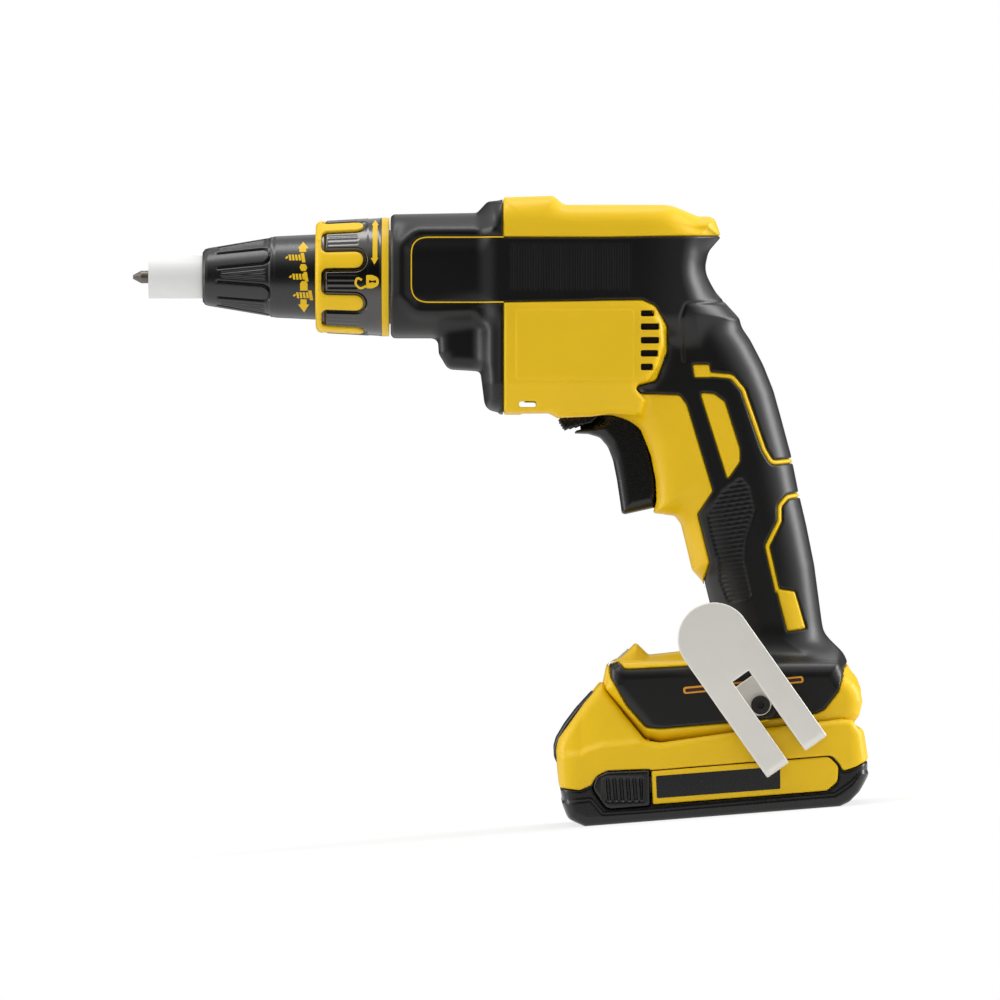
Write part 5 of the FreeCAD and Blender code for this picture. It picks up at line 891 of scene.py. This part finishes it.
def build_pack(step):
    grid = Grid((545, 672, 875, 832), PACK_DEPTH, step)
    u, y, v = grid.axes
    px, py = pixels(u, v)
    side = np.abs(y)
    outside = pack_field(u, y, v)
    zone = flat(YELLOW_EDGE, u, v)
    across, down = BUTTON_STROKE
    button = [flat(BUTTON, u - share * across, v - share * down) for share in (0, 0.5, 1)]
    button_room = np.maximum(functools.reduce(np.minimum, button) - BUTTON_PLAY, side - BUTTON_ROOM)
    inset = np.minimum(flat(PACK_GRIP, u, v), flat(PLATE, u, v))
    pocket = np.maximum(inset - POCKET_PLAY, PACK_HALF - POCKET_DEPTH - side)
    upper = soft_max(outside, zone + CASE_GAP, CASE_EDGE)
    upper = cut(upper, button_room, pocket, np.maximum(outside + UPPER_WALL, zone - CASE_LAP))
    back, high = along_rail(u, v)
    run = np.maximum(RAIL_RUN[0] - back, back - RAIL_RUN[1])
    neck = meet(side - RAIL_NECK[0], np.abs(high - PACK_PLANE) - (RAIL_NECK[1] - PACK_PLANE), run)
    head = meet(side - RAIL_HEAD[0], RAIL_NECK[1] - high, high - RAIL_HEAD[1], run)
    upper = np.minimum(upper, np.minimum(neck, head) + 0.3)
    lip = RIM_LIP * ramp(-0.6, 0.6, (py - np.interp(px, *RIM_LINE)) * PIXEL)
    lower = soft_max(outside + LOWER_SUNK - lip, CASE_GAP - zone, CASE_EDGE)
    lower = cut(lower, pocket, np.maximum(outside + LOWER_WALL, -zone - CASE_LAP))
    moulded("pack_upper", grid, upper, YELLOW, "battery", "yellow_plastic", "battery_upper_case")
    moulded("pack_lower", grid, lower, BLACK, "battery", "black_plastic", "battery_lower_case")
    grid = Grid((586, 762, 654, 812), PACK_DEPTH, step * 0.75)
    u, y, v = grid.axes
    px, py = pixels(u, v)
    side = np.abs(y)
    ribs = window((600, 603), (640, 643), px) * window((774, 777), (797, 800), py)
    level = PACK_HALF + GRIP_RISE - ribs * (0.5 - 0.45 * wave(px - 0.08 * py, 6.6))
    block = round_join(flat(PACK_GRIP, u, v), side - level, GRIP_EDGE)
    block = np.maximum(block, PACK_HALF - INSET_DEPTH - side)
    moulded("pack_grips", grid, block, BLACK, "battery", "soft_black", "battery_grips")
    grid = Grid((645, 748, 842, 806), PACK_DEPTH, step)
    u, y, v = grid.axes
    side = np.abs(y)
    block = round_join(flat(PLATE, u, v), side - PACK_HALF - PLATE_RISE, PLATE_EDGE)
    block = np.maximum(block, PACK_HALF - INSET_DEPTH - side)
    moulded("pack_plates", grid, block, YELLOW, "battery", "yellow_plastic", "battery_side_plates")
    on_side("pack_panel", [rounded(PLATE_PANEL)], plane(-PACK_HALF - PLATE_RISE), 0.08, 0.3, BLACK, "battery",
            "black_plastic", spacing=2.0, both=True)
    grid = Grid((545, 684, 604, 770), (-15.0, 15.0), step * 0.7)
    u, y, v = grid.axes
    face = round_join(flat(BUTTON, u, v), np.abs(y) - BUTTON_HALF, BUTTON_EDGE)
    moulded("pack_button", grid, face, BLACK, "release", "black_plastic", "battery_release_button")


# Trigger and reversing lever, in millimetres
TRIGGER_HALF, TRIGGER_ROUND, GROOVE_PLAY, GROOVE_HALF = 8.3, 4.2, 0.45, 4.0
LEVER_HALF, LEVER_EDGE, LEVER_RIB, FIN_HALF = 4.5, 1.0, 0.25, 1.2


def build_controls(step):
    grid = Grid((566, 406, 664, 522), (-10.0, 10.0), step)
    u, y, v = grid.axes
    blade = round_join(flat(TRIGGER, u, v), np.abs(y) - TRIGGER_HALF, TRIGGER_ROUND)
    blade = cut(blade, np.maximum(flat(LEVER_FIN, u, v) - GROOVE_PLAY, np.abs(y) - GROOVE_HALF))
    moulded("trigger_blade", grid, blade, BLACK, "trigger", "black_plastic", "trigger")
    grid = Grid((552, 404, 606, 436), (-8.0, 8.0), step)
    u, y, v = grid.axes
    px, py = pixels(u, v)
    ribs = LEVER_RIB * wave(px + py, 4.2) * (1 - ramp(584, 588, px))
    tip = round_join(flat(LEVER, u, v) - ribs, np.abs(y) - LEVER_HALF, LEVER_EDGE)
    fin = np.maximum(flat(LEVER_FIN, u, v), np.abs(y) - FIN_HALF)
    moulded("lever_tip", grid, np.minimum(tip, fin), BLACK, "lever", "black_plastic", "reversing_lever")


# Belt hook
HOOK_END = mm(711.6, 637.4)
HOOK_LEAN = math.radians(35.2)
HOOK_HALF, HOOK_REACH, HOOK_SHEET, HOOK_EDGE = 13.15, 51.9, 1.6, 0.45
HOOK_NEAR, HOOK_FAR, HOOK_BEND = -36.4, -48.6, 2.6
HOOK_SLOT_HALF, HOOK_SLOT_START = 3.6, 16.4
HOOK_BASE_START, HOOK_SCREW_AT, HOOK_TONGUE = 18.8, 28.6, 4.4


def build_hook(step):
    """Bent sheet: an outer plate with a slot, two tight bends and a base plate under the screw."""
    grid = Grid((664, 594, 842, 792), (-50.5, -34.5), step)
    u, y, v = grid.axes
    u, v = u - HOOK_END[0], v - HOOK_END[1]
    along = u * math.sin(HOOK_LEAN) - v * math.cos(HOOK_LEAN)
    across = u * math.cos(HOOK_LEAN) + v * math.sin(HOOK_LEAN)
    half_depth = (HOOK_NEAR - HOOK_FAR) / 2
    level = y - (HOOK_NEAR + HOOK_FAR) / 2
    block = round_join(along - HOOK_REACH, np.abs(level) - half_depth, HOOK_BEND)
    sheet = cut(block, block + HOOK_SHEET)
    slot = np.abs(across) - HOOK_SLOT_HALF
    outer = np.hypot(np.minimum(along, 0.0), across) - HOOK_HALF
    outer = cut(outer, np.maximum(slot, HOOK_SLOT_START - along))
    tongue = np.hypot(np.maximum(along - HOOK_SCREW_AT, 0.0), across) - HOOK_TONGUE
    base = np.maximum(np.abs(across) - HOOK_HALF, HOOK_BASE_START - along)
    base = cut(base, cut(np.maximum(slot, HOOK_SCREW_AT - along), tongue))
    sheet = round_join(sheet, np.where(level > 0, base, outer), HOOK_EDGE)
    moulded("hook_sheet", grid, sheet.astype(np.float32), PLATED, "tool", "steel", "belt_hook")


FRONT_STRIPE = [(503.5, 238.6), (411.8, 238.6, 17), (411.8, 303.3, 17), (503.5, 303.3)]
FOOT_SLOT = [(681.5, 685.5, 3), (800.5, 674.5, 3), (801.5, 681, 3), (682, 692.5, 3)]
FOOT_HOLE = [(683.4, 687.3, 2), (798.6, 676.4, 2), (799.4, 679.6, 2), (684, 690.7, 2)]
SHADE_SHEET_LEVEL = -24.3


def build_thin_pieces():
    hole = rounded(FOOT_HOLE)
    on_side("front_stripe", [ribbon(FRONT_STRIPE, 0.45)], skin_depth, 0.12, 0.8, YELLOW, "tool",
            "yellow_plastic", spacing=0.8, both=True)
    # Dark sheet inside the housing behind the vents: painted shade that keeps the vents dark and hides what
    # lies behind them
    on_side("vent_shade_sheet", [rounded(VENT_SHADE_SHEET)], plane(SHADE_SHEET_LEVEL), 0.0, 2.6, RUBBER, "tool",
            "soft_black", spacing=3.0, both=True)
    # The slot in the foot is painted, not cut: a darker orange rim and a near-black inside are painted shade
    # on thin sheets that follow the housing
    on_side("slot_rim_shade", [rounded(FOOT_SLOT), hole], housing_depth, 0.15, 0.5, SLOT_RIM_SHADE, "tool",
            "yellow_plastic", spacing=0.8, both=True)
    on_side("foot_slot_shade", [hole], housing_depth, 0.08, 0.5, SLOT_SHADE, "tool", "black_plastic",
            spacing=0.8, both=True)


# Studio
LAMPS = (
    ("overhead", (-0.05, 0.05, 1.25), (-0.02, 0.0, 0.12), (1.3, 0.3), 6.0),
    ("right", (1.15, 0.18, 0.45), (0.0, 0.0, 0.12), (0.4, 1.1), 13.0),
    ("left", (-1.15, 0.05, 0.50), (-0.05, 0.0, 0.15), (0.4, 1.0), 5.0),
    ("back", (0.2, 1.2, 0.90), (0.0, 0.0, 0.12), (0.9, 0.9), 2.0),
)
AMBIENT = 0.84
ROOM_SPAN, ROOM_LEVELS = (0.4, 0.95), (1.0, 0.03)
FLOOR_REACH, FLOOR_GLOW, FLOOR_FADE = 8.0, 0.74, (0.18, 0.42)
FLOOR_ROOM, FLOOR_TONES = (0.2, 0.7), (0.75, 0.08)
CAMERA_DISTANCE, SENSOR, FARTHEST, PICTURE_MIDDLE = 4.0, 36.0, 40.0, (500, 500)


def sides(tree, place, levels, span, **settings):
    """Level that changes with the distance from the middle plane."""
    depth = node(tree, "ShaderNodeSeparateXYZ", {"Vector": place}).outputs["Y"]
    return spread(tree, calc(tree, "ABSOLUTE", depth), levels, span, **settings)


def seen_rays(tree, rays):
    return calc(tree, "MAXIMUM", rays["Is Camera Ray"], rays["Is Transmission Ray"])


def studio_world(scene):
    """Even light. The picture sees white, and reflections see a dark room at the front and the back."""
    world = bpy.data.worlds.new("studio")
    scene.world = world
    world.use_nodes = True
    tree = world.node_tree
    rays = tree.nodes.new("ShaderNodeLightPath").outputs
    way = tree.nodes.new("ShaderNodeTexCoord").outputs["Generated"]
    room = sides(tree, way, ROOM_LEVELS, ROOM_SPAN, interpolation_type="SMOOTHSTEP")
    shine = node(tree, "ShaderNodeMix", {0: rays["Is Glossy Ray"], 2: AMBIENT, 3: room}).outputs[0]
    level = node(tree, "ShaderNodeMix", {0: seen_rays(tree, rays), 2: shine, 3: 1.0}).outputs[0]
    back = tree.nodes["Background"]
    back.inputs["Color"].default_value = (1.0, 1.0, 1.0, 1.0)
    tree.links.new(level, back.inputs["Strength"])


def studio_floor():
    """Pale floor that takes the shadow and runs out into the white of the background."""
    mesh = bpy.data.meshes.new("floor")
    corners = [(x * FLOOR_REACH, y * FLOOR_REACH, 0) for x, y in ((-1, -1), (1, -1), (1, 1), (-1, 1))]
    mesh.from_pydata(corners, [], [(0, 1, 2, 3)])
    floor = new_object("floor", mesh)
    finish, tree, shader = new_material("floor")
    shader.inputs["Roughness"].default_value = 0.9
    shader.inputs["Specular IOR Level"].default_value = 0.0
    place = tree.nodes.new("ShaderNodeTexCoord").outputs["Object"]
    rays = tree.nodes.new("ShaderNodeLightPath").outputs
    near = sides(tree, place, (1.0, 0.0), FLOOR_ROOM)
    mirrored = calc(tree, "MULTIPLY", rays["Is Glossy Ray"], near)
    dark = calc(tree, "MULTIPLY", rays["Is Glossy Ray"], calc(tree, "SUBTRACT", 1.0, near))
    tree.links.new(spread(tree, dark, FLOOR_TONES), shader.inputs["Base Color"])
    seen = calc(tree, "MAXIMUM", seen_rays(tree, rays), mirrored)
    away = node(tree, "ShaderNodeVectorMath", {0: place}, operation="LENGTH").outputs["Value"]
    share = calc(tree, "MULTIPLY", seen, spread(tree, away, (FLOOR_GLOW, 1.0), FLOOR_FADE))
    glow = node(tree, "ShaderNodeEmission", {"Strength": 1.0}).outputs["Emission"]
    blend = node(tree, "ShaderNodeMixShader", {0: share, 1: shader.outputs["BSDF"], 2: glow})
    tree.links.new(blend.outputs["Shader"], tree.nodes["Material Output"].inputs["Surface"])
    mesh.materials.append(finish)


def build_studio():
    scene = bpy.context.scene
    scene.view_settings.view_transform = "Standard"
    centre_u, centre_v = mm(*PICTURE_MIDDLE)
    middle = to_part([(centre_u, 0.0, centre_v)])[0]
    camera = new_object("camera", bpy.data.cameras.new("camera"))
    camera.data.sensor_width = SENSOR
    camera.data.lens = SENSOR * CAMERA_DISTANCE / PIXEL
    camera.data.clip_end = FARTHEST
    turn = Matrix((REARWARDS, UPWARDS, -SIDEWAYS)).transposed().to_4x4()
    camera.matrix_world = Matrix.Translation(Vector(middle) - Vector(SIDEWAYS) * CAMERA_DISTANCE) @ turn
    scene.camera = camera
    studio_world(scene)
    studio_floor()
    for name, place, aim, wide, power in LAMPS:
        light = bpy.data.lights.new(name, "AREA")
        light.shape = "RECTANGLE"
        light.size, light.size_y = wide
        light.energy = power
        lamp = new_object(name, light)
        lamp.location = place
        lamp.rotation_euler = (Vector(aim) - Vector(place)).to_track_quat("-Z", "Y").to_euler()


STEP = 0.45
CONTROL_STEP = 0.3
HOOK_STEP = CONTROL_STEP
build_studio()
build_housing(STEP)
build_nosecone()
build_collar()
build_bit()
build_signs()
build_pack(STEP)
build_controls(CONTROL_STEP)
build_hook(HOOK_STEP)
build_thin_pieces()

CAD_FINISH = {
    "yellow_plastic": YELLOW, "soft_black": RUBBER, "black_plastic": BLACK, "steel": STEEL,
    "satin_metal": SATIN, "brass": BRASS, "copper_enamel": COPPER, "circuit_board": BOARD, "clear_lens": LENS,
}
NODE_FINISH = {"belt_hook_screw": DARK_STEEL, "screw_bit": BIT_STEEL, "bit_holder": BIT_STEEL}
for subpart in frame["record"]["subparts"]:
    mesh = frame["nodes"][subpart["node"]].data
    mesh.materials.clear()
    mesh.materials.append(NODE_FINISH.get(subpart["node"], CAD_FINISH[subpart["material_slot"]]))
